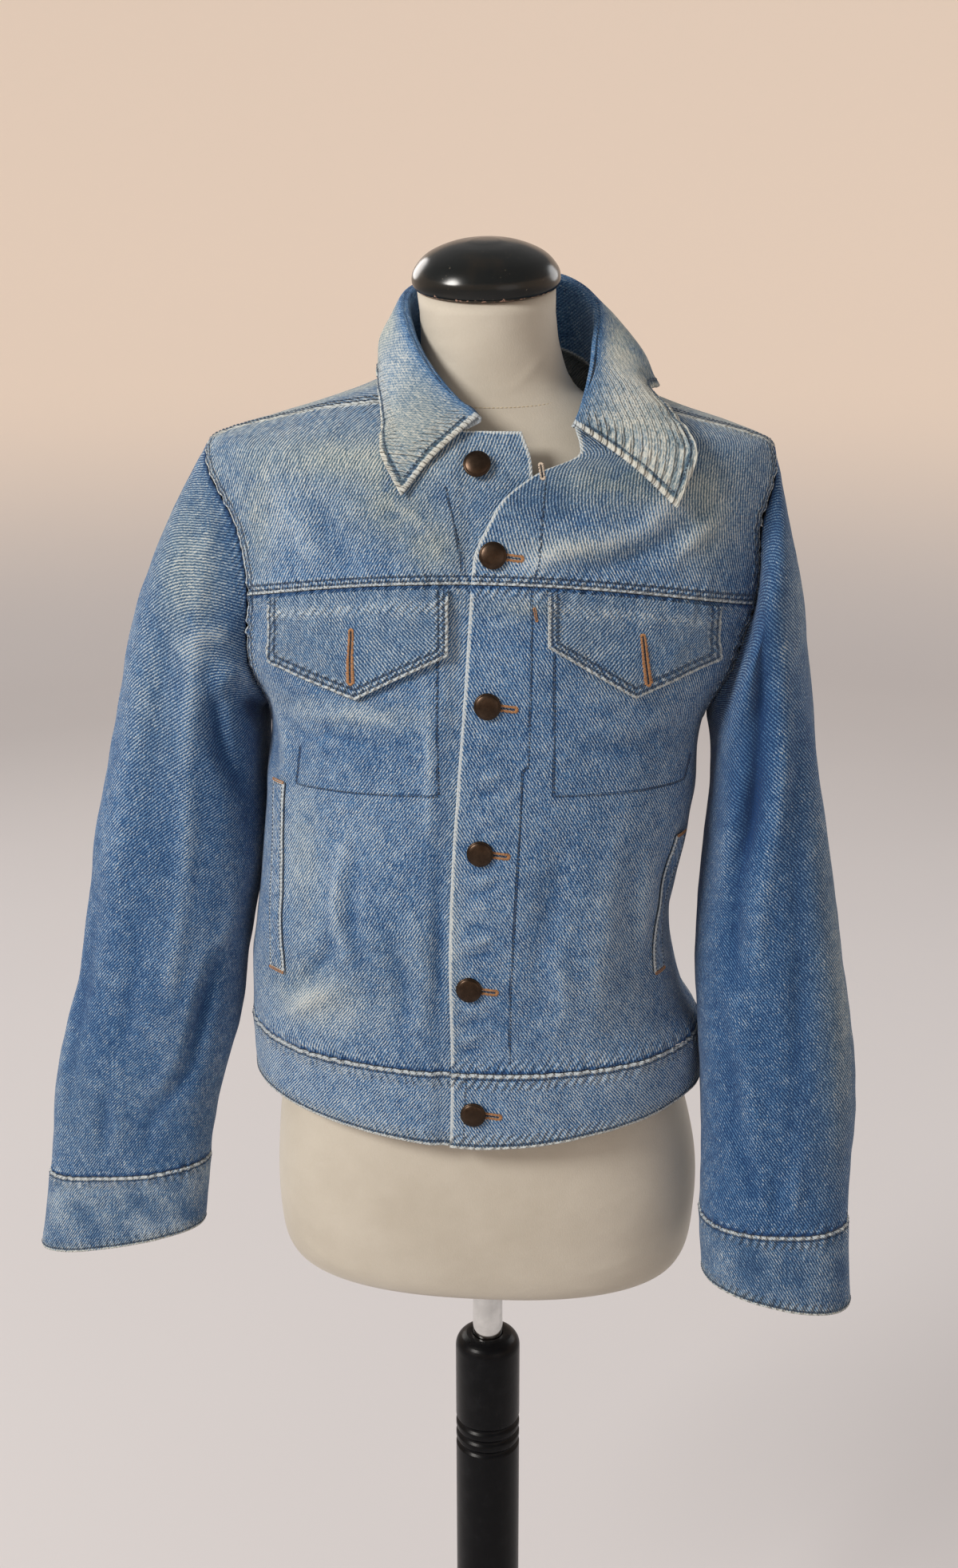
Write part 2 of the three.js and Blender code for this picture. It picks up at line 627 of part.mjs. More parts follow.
function ringAt(z, middle, across, fore, aft, exponent) {
  return Array.from({ length: FORM_AROUND }, (_, i) => {
    const turn = (i / FORM_AROUND) * 2 * Math.PI;
    const [sine, cosine] = [Math.sin(turn), Math.cos(turn)];
    const depth = cosine < 0 ? aft : fore;
    return vector(
      middle + across * power(sine, 2 / exponent),
      -depth * power(cosine, 2 / exponent),
      z,
    );
  });
}

// A ring on the neck's sloping top, `rise` above it along its axis.
function neckRing(rise, radiusX, radiusY) {
  const slope = rad(NECK_TILT);
  return Array.from({ length: FORM_AROUND }, (_, i) => {
    const turn = (i / FORM_AROUND) * 2 * Math.PI;
    const [x, y] = [radiusX * Math.sin(turn), -radiusY * Math.cos(turn)];
    return vector(
      NECK_TOP.x + x,
      NECK_TOP.y + y * Math.cos(slope) + rise * Math.sin(slope),
      NECK_TOP.z - y * Math.sin(slope) + rise * Math.cos(slope),
    );
  });
}

addRings(
  "form",
  [
    ringAt(SOCKET.top, 0, SOCKET.radius, SOCKET.radius, SOCKET.radius, 2),
    ringAt(FORM[0].z, 0, SOCKET.radius, SOCKET.radius, SOCKET.radius, 2),
    ...FORM.map((row) => ringAt(row.z, row.middle, row.across, row.fore, row.aft, row.power)),
    neckRing(0, NECK_TOP.radiusX, NECK_TOP.radiusY),
  ],
  jersey,
);

// The cap on the neck: an oval dome with a rounded rim.
const CAP = named("rise across depth", [
  [0.4, 48, 45],
  [2, 52, 50],
  [7, 53.5, 51],
  [14, 51.5, 49.5],
  [23, 43, 42],
  [30, 27, 27],
  [33, 10, 10],
]);
addRings("neck_cap", CAP.map((row) => neckRing(row.rise, row.across, row.depth)), blackLacquer);

// ---- Stand ----------------------------------------------------------------------------------------
function addLathe(name, profile, look) {
  const points = profile.map(([radius, height]) => new THREE.Vector2(radius, height));
  const geometry = new THREE.LatheGeometry(points, 28);
  geometry.deleteAttribute("normal");
  geometry.deleteAttribute("uv");
  const mesh = new THREE.Mesh(geometry, look);
  mesh.name = name;
  mesh.rotation.x = Math.PI / 2;
  jacketOnForm.add(mesh);
}

addLathe("pole", [[0, POLE.bottom], [POLE.radius, POLE.bottom], [POLE.radius, POLE.top], [0, POLE.top]], chrome);

function postProfile() {
  const profile = [[0, POST.bottom], [POST_FOOT.radius, POST.bottom]];
  profile.push([POST_FOOT.radius, POST.bottom + POST_FOOT.height * 0.5]);
  profile.push([POST.radius, POST.bottom + POST_FOOT.height]);
  for (let i = 0; i < GROOVES.count; i += 1) {
    const middle = GROOVES.first + i * GROOVES.pitch;
    profile.push([POST.radius, middle - GROOVES.width / 2]);
    profile.push([POST.radius - GROOVES.depth, middle]);
    profile.push([POST.radius, middle + GROOVES.width / 2]);
  }
  const round = POST.shoulder;
  for (const t of steps(4)) {
    const angle = (t * Math.PI) / 2;
    profile.push([POST.radius - round * (1 - Math.cos(angle)), POST.top - round * (1 - Math.sin(angle))]);
  }
  profile.push([POST.bore, POST.top], [POST.bore, POST.boreBottom], [0, POST.boreBottom]);
  return profile;
}
addLathe("post", postProfile(), blackPaint);

const baseTop = POST.bottom - GAP;
addLathe(
  "base",
  [
    [0, 0],
    [BASE.radius - 2, 0],
    [BASE.radius, 2],
    [BASE.radius, BASE.edge - 2],
    [BASE.radius - 4, BASE.edge],
    [POST_FOOT.radius + BASE.rise, BASE.edge + 4],
    [POST_FOOT.radius + 8, baseTop],
    [0, baseTop],
  ],
  blackPaint,
);

export default jacketOnForm;
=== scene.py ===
"""The looks of the denim jacket on its dress form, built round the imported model.

Shapes are worked out in millimetres in the part's own frame and turned to metres when a mesh is made.
"Left" and "right" are the viewer's: left is -X, right is +X, and the front faces -Y.
"""
import math

import bpy
import numpy as np
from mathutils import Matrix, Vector


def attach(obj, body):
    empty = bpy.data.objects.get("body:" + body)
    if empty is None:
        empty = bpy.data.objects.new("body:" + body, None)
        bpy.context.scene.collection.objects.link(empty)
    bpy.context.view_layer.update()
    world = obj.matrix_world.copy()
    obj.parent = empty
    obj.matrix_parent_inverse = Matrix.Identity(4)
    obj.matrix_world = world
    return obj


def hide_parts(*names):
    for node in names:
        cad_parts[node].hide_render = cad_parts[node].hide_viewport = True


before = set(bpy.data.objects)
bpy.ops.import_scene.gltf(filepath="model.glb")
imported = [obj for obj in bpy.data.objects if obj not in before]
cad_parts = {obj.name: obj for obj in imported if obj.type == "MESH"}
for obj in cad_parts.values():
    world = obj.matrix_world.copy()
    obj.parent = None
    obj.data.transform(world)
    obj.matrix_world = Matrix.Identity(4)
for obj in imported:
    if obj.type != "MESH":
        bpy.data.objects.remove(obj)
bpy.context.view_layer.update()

MM = 0.001

# ---- Driving sizes, as in the part ---------------------------------------------------------------
GAP = 0.3
CLOTH = 1.8
DOUBLE_CLOTH = 2.4
FLAP_CLOTH = 1.6
LAP_DEPTH = CLOTH + 2 * GAP
LAP_SLOPE = 16
PATCH_LIFT = 0.8
HEM, WAISTBAND, ARMPIT, YOKE, TIP, NECK = 840, 885, 1135, 1218, 1334, 1377
SIDE_SEAM = 93
SHOULDER_TIP, SHOULDER_NECK = 82, 68
OUTER_SEAM = 310
INNER_SEAM = 205


# ---- Small helpers -------------------------------------------------------------------------------
def smooth(value, start, end):
    t = np.clip((np.asarray(value, float) - start) / (end - start), 0, 1)
    return t * t * (3 - 2 * t)


def mix(a, b, t):
    return a + (b - a) * t


def power(value, exponent):
    return np.sign(value) * np.abs(value) ** exponent


def unit(vectors):
    return vectors / np.maximum(np.linalg.norm(vectors, axis=-1, keepdims=True), 1e-9)


def bend(a, b, slope_a, slope_b, t):
    """A smooth curve from a at t = 0 to b at t = 1 that leaves and arrives at the given slopes."""
    t2, t3 = t * t, t * t * t
    start = (2 * t3 - 3 * t2 + 1) * a + (t3 - 2 * t2 + t) * slope_a
    return start + (3 * t2 - 2 * t3) * b + (t3 - t2) * slope_b


def walk_at(at, walked, values):
    """Points or directions at distances along a line whose own are known at `walked`."""
    return np.stack([np.interp(at, walked, values[:, i]) for i in range(values.shape[1])], -1)


class Table:
    """Rows with named columns. Each column is a smooth curve of the first one."""

    def __init__(self, columns, rows):
        self.names = columns.split()
        self.rows = np.array(rows, float)

    def at(self, name, key):
        keys = self.rows[:, 0]
        values = self.rows[:, self.names.index(name)]
        key = np.asarray(key, float)
        last = len(keys) - 1
        k = np.searchsorted(keys[1:-1], key, side="left")
        before, after = np.maximum(k - 1, 0), np.minimum(k + 2, last)
        span = keys[k + 1] - keys[k]
        t = np.clip((key - keys[k]) / span, 0, 1)
        slope_a = (values[k + 1] - values[before]) / (keys[k + 1] - keys[before]) * span
        slope_b = (values[after] - values[k]) / (keys[after] - keys[k]) * span
        return bend(values[k], values[k + 1], slope_a, slope_b, t)


def curve_through(points, count=24):
    """An even-handed smooth curve through a few points."""
    points = np.array(points, float)
    keys = np.arange(len(points))
    columns = np.column_stack([keys, points])
    table = Table("key " + " ".join(f"c{i}" for i in range(points.shape[1])), columns)
    t = np.linspace(0, len(points) - 1, count)
    return np.stack([table.at(f"c{i}", t) for i in range(points.shape[1])], axis=-1)


def near(points, line):
    """How far each point is from a line of points, and how far along the line its nearest point is."""
    shape = points.shape[:-1]
    flat = points.reshape(-1, points.shape[-1])
    best = np.full(len(flat), 1e9)
    along = np.zeros(len(flat))
    walked = 0.0
    for a, b in zip(line[:-1], line[1:]):
        step = b - a
        length = np.linalg.norm(step)
        t = np.clip((flat - a) @ step / max(length * length, 1e-9), 0, 1)
        distance = np.linalg.norm(flat - a - t[:, None] * step, axis=1)
        closer = distance < best
        best = np.where(closer, distance, best)
        along = np.where(closer, walked + t * length, along)
        walked += length
    return best.reshape(shape), along.reshape(shape), walked


def waves(seed, count, shortest, longest, dimensions=3):
    """A gentle random height: a sum of waves of several lengths in several directions."""
    own = np.random.default_rng(seed)
    directions = unit(own.normal(size=(count, dimensions)))
    lengths = shortest * (longest / shortest) ** own.random(count)
    phases = own.random(count) * 2 * math.pi
    sizes = lengths / longest

    def height(points):
        total = 0
        for direction, length, phase, size in zip(directions, lengths, phases, sizes):
            total = total + size * np.sin(points @ direction * 2 * math.pi / length + phase)
        return total / np.sqrt(np.sum(sizes**2) / 2) / 1.6

    return height


# ---- The jacket's body ---------------------------------------------------------------------------
BODY = Table("side front back left right fore aft power climb", [
    [840, 820, 833, 188, 171, 123, 105, 2.2, 1.3],
    [885, 881, 886, 188, 169, 122, 102, 2.3, 1.8],
    [912, 909, 912, 187, 155, 122, 101, 2.3, 2],
    [965, 965, 966, 183, 145, 122, 97, 2.3, 2],
    [1005, 1006, 1006, 178, 148, 121, 97, 2.3, 2],
    [1070, 1074, 1070, 171, 158, 120, 102, 2.3, 2],
    [1135, 1146, 1137, 167, 167, 118, 108, 2.2, 2],
    [1175, 1195, 1182, 192, 192, 115, 111, 2.1, 2],
    [1218, 1244, 1232, 203, 207, 112, 111, 2.0, 2],
    [1270, 1281, 1288, 206, 208, 105, 106, 2.0, 2],
    [1334, 1319, 1351, 207, 207, 97, 98, 2.0, 2],
    [1357, 1333, 1377, 140, 145, 90, 89, 2.2, 3.5],
    [1377, 1347, 1405, 70, 84, 84, 78, 2.6, 8],
])
RIGHT_EDGE = Table("level x", [
    [840, -18], [885, -17], [970, -18], [1035, -16], [1090, -12], [1150, -7], [1218, -2],
    [1245, 0], [1275, 9], [1305, 20], [1334, 44], [1348, 68], [1362, 70], [1377, 66],
])
LEFT_EDGE = Table("level x", [
    [840, 24], [885, 25], [1035, 27], [1218, 38], [1300, 40], [1350, 38], [1377, 31],
])
ARMHOLE = Table("level left right behind", [
    [1135, 93, 93, 93],
    [1141, 82, 84, 101],
    [1152, 73, 78, 108],
    [1172, 65, 73.5, 116],
    [1195, 60, 71.5, 121],
    [1218, 57, 72.5, 123],
    [1245, 57, 73, 122],
    [1272, 60, 73.5, 119],
    [1298, 65.5, 75, 113],
    [1316, 72, 78, 105],
    [1328, 78, 80.5, 94],
    [1334, 82, 82, 82],
])


def body(turn, level):
    """A point of the body: `turn` degrees round from the centre front, `level` the height at the sides."""
    turn, level = np.broadcast_arrays(np.asarray(turn, float), np.asarray(level, float))
    sine, cosine = np.sin(np.radians(turn)), np.cos(np.radians(turn))
    around = 2 / BODY.at("power", level)
    x = power(sine, around) * np.where(sine < 0, BODY.at("left", level), BODY.at("right", level))
    y = power(cosine, around) * np.where(cosine < 0, BODY.at("aft", level), BODY.at("fore", level))
    end = np.where(cosine < 0, BODY.at("back", level), BODY.at("front", level))
    climb = np.where(cosine < 0, 2, BODY.at("climb", level))
    return np.stack([x, -y, mix(end, level, np.abs(sine) ** climb)], axis=-1)


def outward(turn, level):
    level = np.minimum(level, NECK - 1)
    along_turn = body(np.add(turn, 0.5), level) - body(np.subtract(turn, 0.5), level)
    along_level = body(turn, np.add(level, 0.8)) - body(turn, np.subtract(level, 0.8))
    return unit(np.cross(along_turn, along_level))


def turn_at(x, level):
    width = np.where(np.asarray(x) < 0, BODY.at("left", level), BODY.at("right", level))
    share = power(x / width, BODY.at("power", level) / 2)
    return np.degrees(np.arcsin(np.clip(share, -1, 1)))


def place_at(x, height):
    """The turn and level of the points of the front that have a given x and height."""
    x, height = np.broadcast_arrays(np.asarray(x, float), np.asarray(height, float))
    level = height.copy()
    for _ in range(14):
        level = level + height - body(turn_at(x, level), level)[..., 2]
    return turn_at(x, level), level


def lap_edge(level):
    return RIGHT_EDGE.at("x", np.minimum(level, YOKE + 27))


def lap_sink(turn, level):
    edge = lap_edge(level)
    return LAP_DEPTH * smooth(body(turn, level)[..., 0] - edge, -LAP_SLOPE, -4)


def shoulder_seam(level):
    return mix(SHOULDER_TIP, SHOULDER_NECK, (np.asarray(level, float) - TIP) / (NECK - TIP))


def side_turn(name, level):
    inside = ARMHOLE.at(name, level)
    return np.where(level <= ARMPIT, SIDE_SEAM, np.where(level >= TIP, shoulder_seam(level), inside))


def armhole_line(side, sign, count=160):
    """The armhole's seam from the tip, down the front to the armpit and up behind."""
    down = np.linspace(TIP, ARMPIT, count)
    levels = np.concatenate([down, down[::-1][1:-1]])
    turns = np.concatenate([side_turn(side, down), side_turn("behind", down[::-1][1:-1])])
    return sign * turns, levels


# ---- Creases and tones ---------------------------------------------------------------------------
# Each crease: the points it runs through, its half-width, its height (below 0 for a trough)
# and its tone (above 0 where the dye is worn pale, below 0 where it is darker: deeper dye kept in the fold
# and painted shade in the trough). Fronts: x and height.
FRONT_CREASES = [
    ([(-140, 1141), (-90, 1149), (-34, 1140)], 6, 1.3, 0.3),
    ([(-138, 1128), (-100, 1131), (-50, 1124)], 5, -1.0, -0.2),
    ([(-96, 1062), (-103, 1010), (-101, 982), (-91, 957)], 6, 2.0, 0.5),
    ([(-84, 1052), (-91, 1000), (-80, 952)], 6, -1.6, -0.3),
    ([(-34, 1186), (-31, 1120), (-33, 1050)], 4, 1.2, 0.45),
    ([(-27, 1045), (-25, 960), (-31, 902)], 5, -1.5, -0.4),
    ([(-150, 905), (-118, 933), (-84, 951)], 9, 2.4, 0.6),
    ([(-146, 928), (-120, 952), (-98, 986)], 7, -1.6, -0.2),
    ([(-60, 900), (-51, 940), (-64, 992)], 8, -1.8, -0.25),
    ([(-42, 905), (-38, 960), (-46, 1010)], 7, 1.4, 0.2),
    ([(-91, 1314), (-45, 1290), (-18, 1262)], 6, 1.5, 0.3),
    ([(-120, 1300), (-98, 1268), (-84, 1250)], 8, -1.6, -0.25),
    ([(-146, 1296), (-122, 1270), (-112, 1250)], 8, 1.5, 0.25),
    ([(-60, 1300), (-56, 1272), (-62, 1250)], 7, -1.0, -0.2),
    ([(-158, 1160), (-146, 1120), (-150, 1085)], 7, 1.6, 0.3),
    ([(25, 1243), (58, 1266), (112, 1279), (150, 1316)], 8, 1.8, 0.75),
    ([(62, 1250), (112, 1262), (162, 1292)], 7, -1.6, -0.25),
    ([(132, 1252), (150, 1272), (172, 1286)], 7, 1.3, 0.3),
    ([(30, 1300), (52, 1290), (74, 1294)], 6, -1.2, -0.35),
    ([(66, 1152), (106, 1141), (150, 1152)], 7, 1.2, 0.25),
    ([(76, 1132), (116, 1124), (146, 1134)], 6, -1.0, -0.2),
    ([(129, 1060), (124, 1010), (119, 958)], 7, 2.0, 0.35),
    ([(140, 1040), (139, 1000), (144, 950)], 5, -2.2, -0.5),
    ([(72, 1088), (55, 1005), (42, 912)], 11, -1.8, -0.2),
    ([(108, 1082), (94, 990), (88, 905)], 13, 2.0, 0.2),
    ([(60, 905), (66, 940), (56, 985)], 7, 1.3, 0.25),
]
# The placket between its buttons: short creases across it, each a height, a rise to the right and a size.
PLACKET_CREASES = [
    (1216, 2, 0.6), (1196, -3, 0.7), (1137, 4, 0.8), (1127, 2, -0.8), (1108, 5, 1.0), (1096, 3, -1.0),
    (1080, -4, 0.7),
    (1032, 5, 1.1), (1022, 7, -1.1), (1011, 4, 0.9), (998, -3, -0.8), (985, 6, 1.1), (974, 4, -1.0),
    (931, 6, 0.9), (921, 4, -1.0), (909, 6, 1.0), (899, 3, -0.9),
]
for height, rise, size in PLACKET_CREASES:
    reach = 10 + 9 * abs(size)
    start = -14 + 0.06 * (height - 900) + 4
    route = [(start, height), (start + reach / 2, height + rise * 0.3), (start + reach, height + rise)]
    # Troughs across the placket (size below 0) get a darker tone, partly painted shade.
    FRONT_CREASES.append((route, 3.0, 0.9 * size, 0.5 * size))
BACK_CREASES = [
    ([(-150, 1300), (-90, 1272), (-20, 1262)], 9, 1.8, 0.3),
    ([(150, 1296), (84, 1262), (26, 1256)], 9, 1.6, 0.25),
    ([(-130, 1276), (-70, 1248), (-10, 1240)], 8, -1.6, -0.2),
    ([(118, 1262), (66, 1236), (18, 1233)], 8, -1.4, -0.2),
    ([(-172, 1200), (-140, 1150), (-128, 1080)], 10, 2.4, 0.35),
    ([(-150, 1190), (-122, 1140), (-112, 1070)], 8, -2.2, -0.3),
    ([(168, 1196), (138, 1140), (130, 1060)], 10, 2.2, 0.3),
    ([(148, 1180), (118, 1120), (114, 1050)], 8, -2.0, -0.3),
    ([(-64, 1130), (-58, 1040), (-72, 950)], 12, 2.0, 0.2),
    ([(-30, 1090), (-36, 1000), (-28, 920)], 10, -1.8, -0.2),
    ([(34, 1120), (28, 1020), (42, 930)], 12, 1.8, 0.2),
    ([(78, 1070), (84, 980), (74, 905)], 10, -2.0, -0.25),
    ([(-120, 960), (-104, 925), (-110, 895)], 7, 1.8, 0.4),
    ([(112, 975), (98, 930), (104, 895)], 7, 1.6, 0.35),
    ([(-12, 1360), (4, 1320), (-4, 1290)], 9, -1.2, -0.15),
]
# Sleeves: the side that faces forward, x and height. The darkest troughs, under the arms and down the inner
# sleeves, carry painted shade.
SLEEVE_CREASES = [
    ([(-196, 1297), (-210, 1173), (-219, 1095), (-227, 1010), (-244, 909), (-257, 831)], 8, 2.6, 0.4),
    ([(-197, 1183), (-195, 1118), (-185, 1083), (-181, 1062), (-180, 1026)], 7, -4.5, -0.6),
    ([(-203, 951), (-221, 891), (-235, 840), (-262, 806)], 6, -3.0, -0.55),
    ([(-214, 956), (-233, 894), (-248, 846), (-272, 818)], 6, 2.0, 0.25),
    ([(-203, 1146), (-182, 1168), (-160, 1148)], 8, 4.0, 0.15),
    ([(-176, 1147), (-165, 1131), (-154, 1112)], 8, -5.5, -0.9),
    ([(-214, 1190), (-196, 1199), (-180, 1198)], 9, 1.4, 0.55),
    ([(-300, 1001), (-326, 880), (-338, 784)], 9, -2.4, -0.35),
    ([(-318, 980), (-336, 900), (-346, 812)], 8, 1.8, 0.2),
    ([(-300, 828), (-309, 764)], 5, -2.0, -0.35),
    ([(-288, 816), (-296, 762)], 5, 1.5, 0.2),
    ([(-262, 812), (-273, 766)], 5, -1.6, -0.25),
    ([(-244, 1240), (-262, 1120), (-284, 1010), (-300, 900)], 14, 2.4, 0.15),
    ([(-228, 1226), (-240, 1130), (-252, 1050)], 10, -2.0, -0.2),
    ([(-262, 990), (-272, 920), (-290, 850)], 9, -1.8, -0.2),
    ([(-190, 1010), (-196, 970), (-212, 930)], 7, 2.0, 0.2),
    ([(199, 1240), (203, 1165), (200, 1076), (191, 1020), (189, 936)], 7, -5.0, -0.8),
    ([(213, 1238), (219, 1150), (217, 1070), (208, 1000), (205, 925)], 8, 3.0, 0.35),
    ([(240, 1180), (250, 1070), (262, 960), (271, 860), (274, 780)], 12, 2.2, 0.2),
    ([(229, 1120), (236, 1010), (240, 900), (236, 800)], 9, -2.2, -0.25),
    ([(187, 1090), (184, 1050), (178, 1000)], 6, 2.4, 0.2),
    ([(178, 930), (190, 880), (196, 820)], 7, -2.0, -0.3),
    ([(190, 940), (203, 880), (212, 812)], 7, 1.6, 0.2),
    ([(198, 826), (213, 776)], 5, -1.7, -0.3),
    ([(244, 812), (241, 764)], 5, 1.4, 0.25),
    ([(226, 806), (228, 764)], 5, -1.4, -0.25),
    ([(222, 1262), (230, 1220), (226, 1180)], 8, 1.6, 0.4),
]
# Sleeves, the sides that face out and back: degrees round the sleeve and the share of the way down.
SLEEVE_SIDE_CREASES = [
    ([(345, 0.05), (350, 0.30), (340, 0.52)], 12, 2.4, 0.3),
    ([(325, 0.18), (318, 0.42), (328, 0.66)], 10, -2.2, -0.3),
    ([(300, 0.12), (292, 0.36), (300, 0.60)], 11, 2.2, 0.25),
    ([(335, 0.55), (322, 0.72), (330, 0.86)], 9, 2.0, 0.3),
    ([(296, 0.62), (304, 0.74), (296, 0.88)], 8, -2.0, -0.3),
    ([(268, 0.10), (262, 0.30), (272, 0.52)], 10, -2.4, -0.3),
    ([(250, 0.22), (244, 0.42), (252, 0.60)], 9, 2.2, 0.3),
    ([(236, 0.34), (262, 0.40), (284, 0.37)], 9, -2.4, -0.35),
    ([(232, 0.42), (258, 0.47), (286, 0.46)], 9, 2.4, 0.35),
    ([(270, 0.66), (262, 0.78), (270, 0.92)], 9, 2.0, 0.25),
    ([(12, 0.30), (20, 0.50), (10, 0.72)], 11, -2.0, -0.2),
    ([(356, 0.60), (366, 0.75), (358, 0.90)], 8, 1.8, 0.2),
]
# Patches of paler (tone above 0) or darker tone on the side that faces forward: deeper dye, and two patches
# of painted shade, marked below.
FRONT_TONES = Table("x height across tall tone", [
    [-150, 1292, 22, 30, 0.25],
    [-60, 1330, 50, 12, 0.25],
    [40, 1306, 26, 10, -0.45],
    [120, 1318, 40, 12, -0.25],
    [-88, 1150, 56, 10, 0.2],
    [-86, 1110, 40, 10, -0.15],
    [112, 1165, 46, 9, 0.12],
    [-130, 1030, 18, 40, 0.2],
    [-100, 920, 40, 16, 0.4],
    [-50, 1030, 18, 40, -0.1],
    [110, 1010, 36, 50, 0.14],
    [120, 925, 36, 20, 0.1],
    [-12, 1000, 7, 120, 0.2],
    [-12, 1200, 9, 30, 0.3],
    [30, 1262, 22, 12, 0.45],
    [-215, 1245, 22, 46, 0.35],
    [-250, 1150, 20, 50, 0.15],
    [-210, 1186, 22, 12, 0.4],
    # painted shade under the left arm
    [-165, 1120, 16, 30, -0.5],
    [-290, 860, 40, 60, -0.08],
    [-270, 980, 30, 60, -0.08],
    [240, 1250, 14, 40, 0.25],
    [276, 960, 10, 120, 0.35],
    # painted shade down the right sleeve's inner front
    [200, 1130, 12, 90, -0.3],
    [230, 880, 30, 70, 0.04],
])
# Patches where the blue has gone to a greenish grey.
FRONT_FADES = Table("x height across tall amount", [
    [-90, 1326, 60, 15, 0.7],
    [-58, 1296, 26, 20, 0.75],
    [-28, 1268, 20, 18, 0.8],
    [-160, 1280, 12, 45, 0.5],
    [-30, 1232, 40, 8, 0.3],
    [104, 1312, 50, 16, 0.7],
    [158, 1286, 18, 36, 0.65],
    [70, 1268, 46, 9, 0.55],
    [40, 1228, 30, 8, 0.5],
    [110, 1226, 60, 6, 0.35],
    [-86, 1150, 60, 9, 0.35],
    [112, 1180, 50, 14, 0.25],
    [-126, 930, 40, 26, 0.55],
    [-130, 1030, 16, 60, 0.35],
    [-60, 960, 40, 40, 0.2],
    [120, 960, 40, 60, 0.15],
    [-14, 1000, 5, 150, 0.3],
    [-214, 1250, 30, 60, 0.7],
    [-245, 1140, 22, 60, 0.25],
    [236, 1240, 24, 60, 0.5],
    [262, 1060, 22, 90, 0.4],
    [276, 930, 20, 120, 0.65],
    [-330, 800, 40, 60, 0.15],
])


def crease_field(creases, points):
    height = np.zeros(points.shape[:-1])
    tone = np.zeros(points.shape[:-1])
    for route, width, size, shade in creases:
        line = curve_through(route, 6 * len(route))
        low, high = line.min(0) - 3 * width, line.max(0) + 3 * width
        inside = np.all((points > low) & (points < high), axis=-1)
        if not inside.any():
            continue
        distance, along, length = near(points[inside], line)
        ends = np.sin(np.pi * np.clip(along / length, 0.02, 0.98)) ** 0.7
        uneven = 1 + 0.25 * np.sin(along / 17 + route[0][0])
        lean = 0.5 * (1 + np.tanh(distance / width - 1.2))
        profile = np.exp(-((distance / width) ** 2)) * ends * uneven
        height[inside] += size * profile * (1 - 0.2 * lean)
        # Tone: pale wear on ridges; below 0 a darker fold, part deeper dye and part painted shade
        tone[inside] += shade * np.exp(-((distance / (0.75 * width)) ** 2)) * ends * uneven
    return height, tone


def patch_field(patches, points):
    total = np.zeros(points.shape[:-1])
    for x, height, across, tall, amount in patches.rows:
        far = ((points[..., 0] - x) / across) ** 2 + ((points[..., 1] - height) / tall) ** 2
        total += amount * np.exp(-far)
    return total


ripple_wide = waves(11, 9, 60, 150)
ripple_fine = waves(12, 12, 18, 45)
pucker_wave = waves(13, 9, 6.5, 14, 1)
CREASE_DEPTH = 1.6  # the body's creases are this much deeper than their table says


def puckers(along, distance, reach, depth):
    """Small ridges across a seam, which die away within `reach` of it."""
    return depth * pucker_wave(along[..., None]) * np.exp(-((distance / reach) ** 1.5))


# Seams of the body that gather the cloth: points on the body as turn and level.
def on_body(turns, levels):
    return body(np.asarray(turns, float), np.asarray(levels, float))


PUCKERED_SEAMS = [
    (on_body(np.linspace(-57, 72, 60), np.full(60, YOKE)), 9, 0.45, 0.9),
    (on_body(np.linspace(-93, 267, 140), np.full(140, WAISTBAND)), 10, 0.5, 0.9),
    (on_body(*armhole_line("left", -1, 60)), 10, 0.5, 0.8),
    (on_body(*armhole_line("right", 1, 60)), 10, 0.5, 0.8),
]
for sign in (-1, 1):
    tops = np.linspace(TIP, NECK, 30)
    PUCKERED_SEAMS.append((on_body(sign * shoulder_seam(tops), tops), 9, 0.35, 0.9))
FELL = 9.0  # the width of a felled seam
FELL_RISE = 0.8  # its height
FELL_EDGE = 1.2  # the width of the step down from it
STITCH_ROWS = (2.9, 6.8)  # how far the rows of stitches are from a felled or turned edge


def body_marks(point, out, turn, level):
    """Height over the smooth body, and what the denim's look depends on."""
    elevation = point[..., [0, 2]]
    forward = smooth(-out[..., 1], -0.05, 0.45)
    height_front, tone_front = crease_field(FRONT_CREASES, elevation)
    height_back, tone_back = crease_field(BACK_CREASES, elevation)
    height = height_front * forward + height_back * (1 - forward)
    tone = (tone_front + patch_field(FRONT_TONES, elevation)) * forward + tone_back * (1 - forward)
    height = height + 0.7 * ripple_wide(point) + 0.22 * ripple_fine(point)
    rope = np.zeros(point.shape[:-1])
    for line, reach, depth, strength in PUCKERED_SEAMS:
        low, high = line.min(0) - 3 * reach, line.max(0) + 3 * reach
        inside = np.all((point > low) & (point < high), axis=-1)
        if inside.any():
            distance, along, _ = near(point[inside], line)
            height[inside] += puckers(along, distance, reach, depth)
            rope[inside] = np.maximum(rope[inside], strength * np.exp(-((distance / reach) ** 2)))
    band = felled_band(point, turn, level)
    height = CREASE_DEPTH * height + FELL_RISE * (1 - smooth(band, FELL, FELL + FELL_EDGE))
    settle = 1 - 0.6 * smooth(level, 1325, 1350)
    fade = 0.3 * smooth(point[..., 2], 1225, 1330) + patch_field(FRONT_FADES, elevation) * forward
    fade = fade + 0.7 * (1 - forward) * smooth(point[..., 2], 1240, 1330)
    tone = tone + 0.35 * (1 - forward) * smooth(point[..., 2], 1300, 1345)
    return {
        "height": height * settle, "tone": tone, "fade": fade, "rope": rope, "edge": 0 * tone, "band": band,
        "twice": np.ones(tone.shape), "row": plain_row(point, turn),
    }


arm_lines = {-1: on_body(*armhole_line("left", -1, 120)), 1: on_body(*armhole_line("right", 1, 120))}
shoulder_levels = np.linspace(TIP, NECK, 40)
shoulder_lines = {sign: on_body(sign * shoulder_seam(shoulder_levels), shoulder_levels) for sign in (-1, 1)}
NO_BAND = 40.0  # the distance that stands for "not on a felled band"
ROW_REACH = 9.0  # the farthest that a point's distance from a plain row is followed
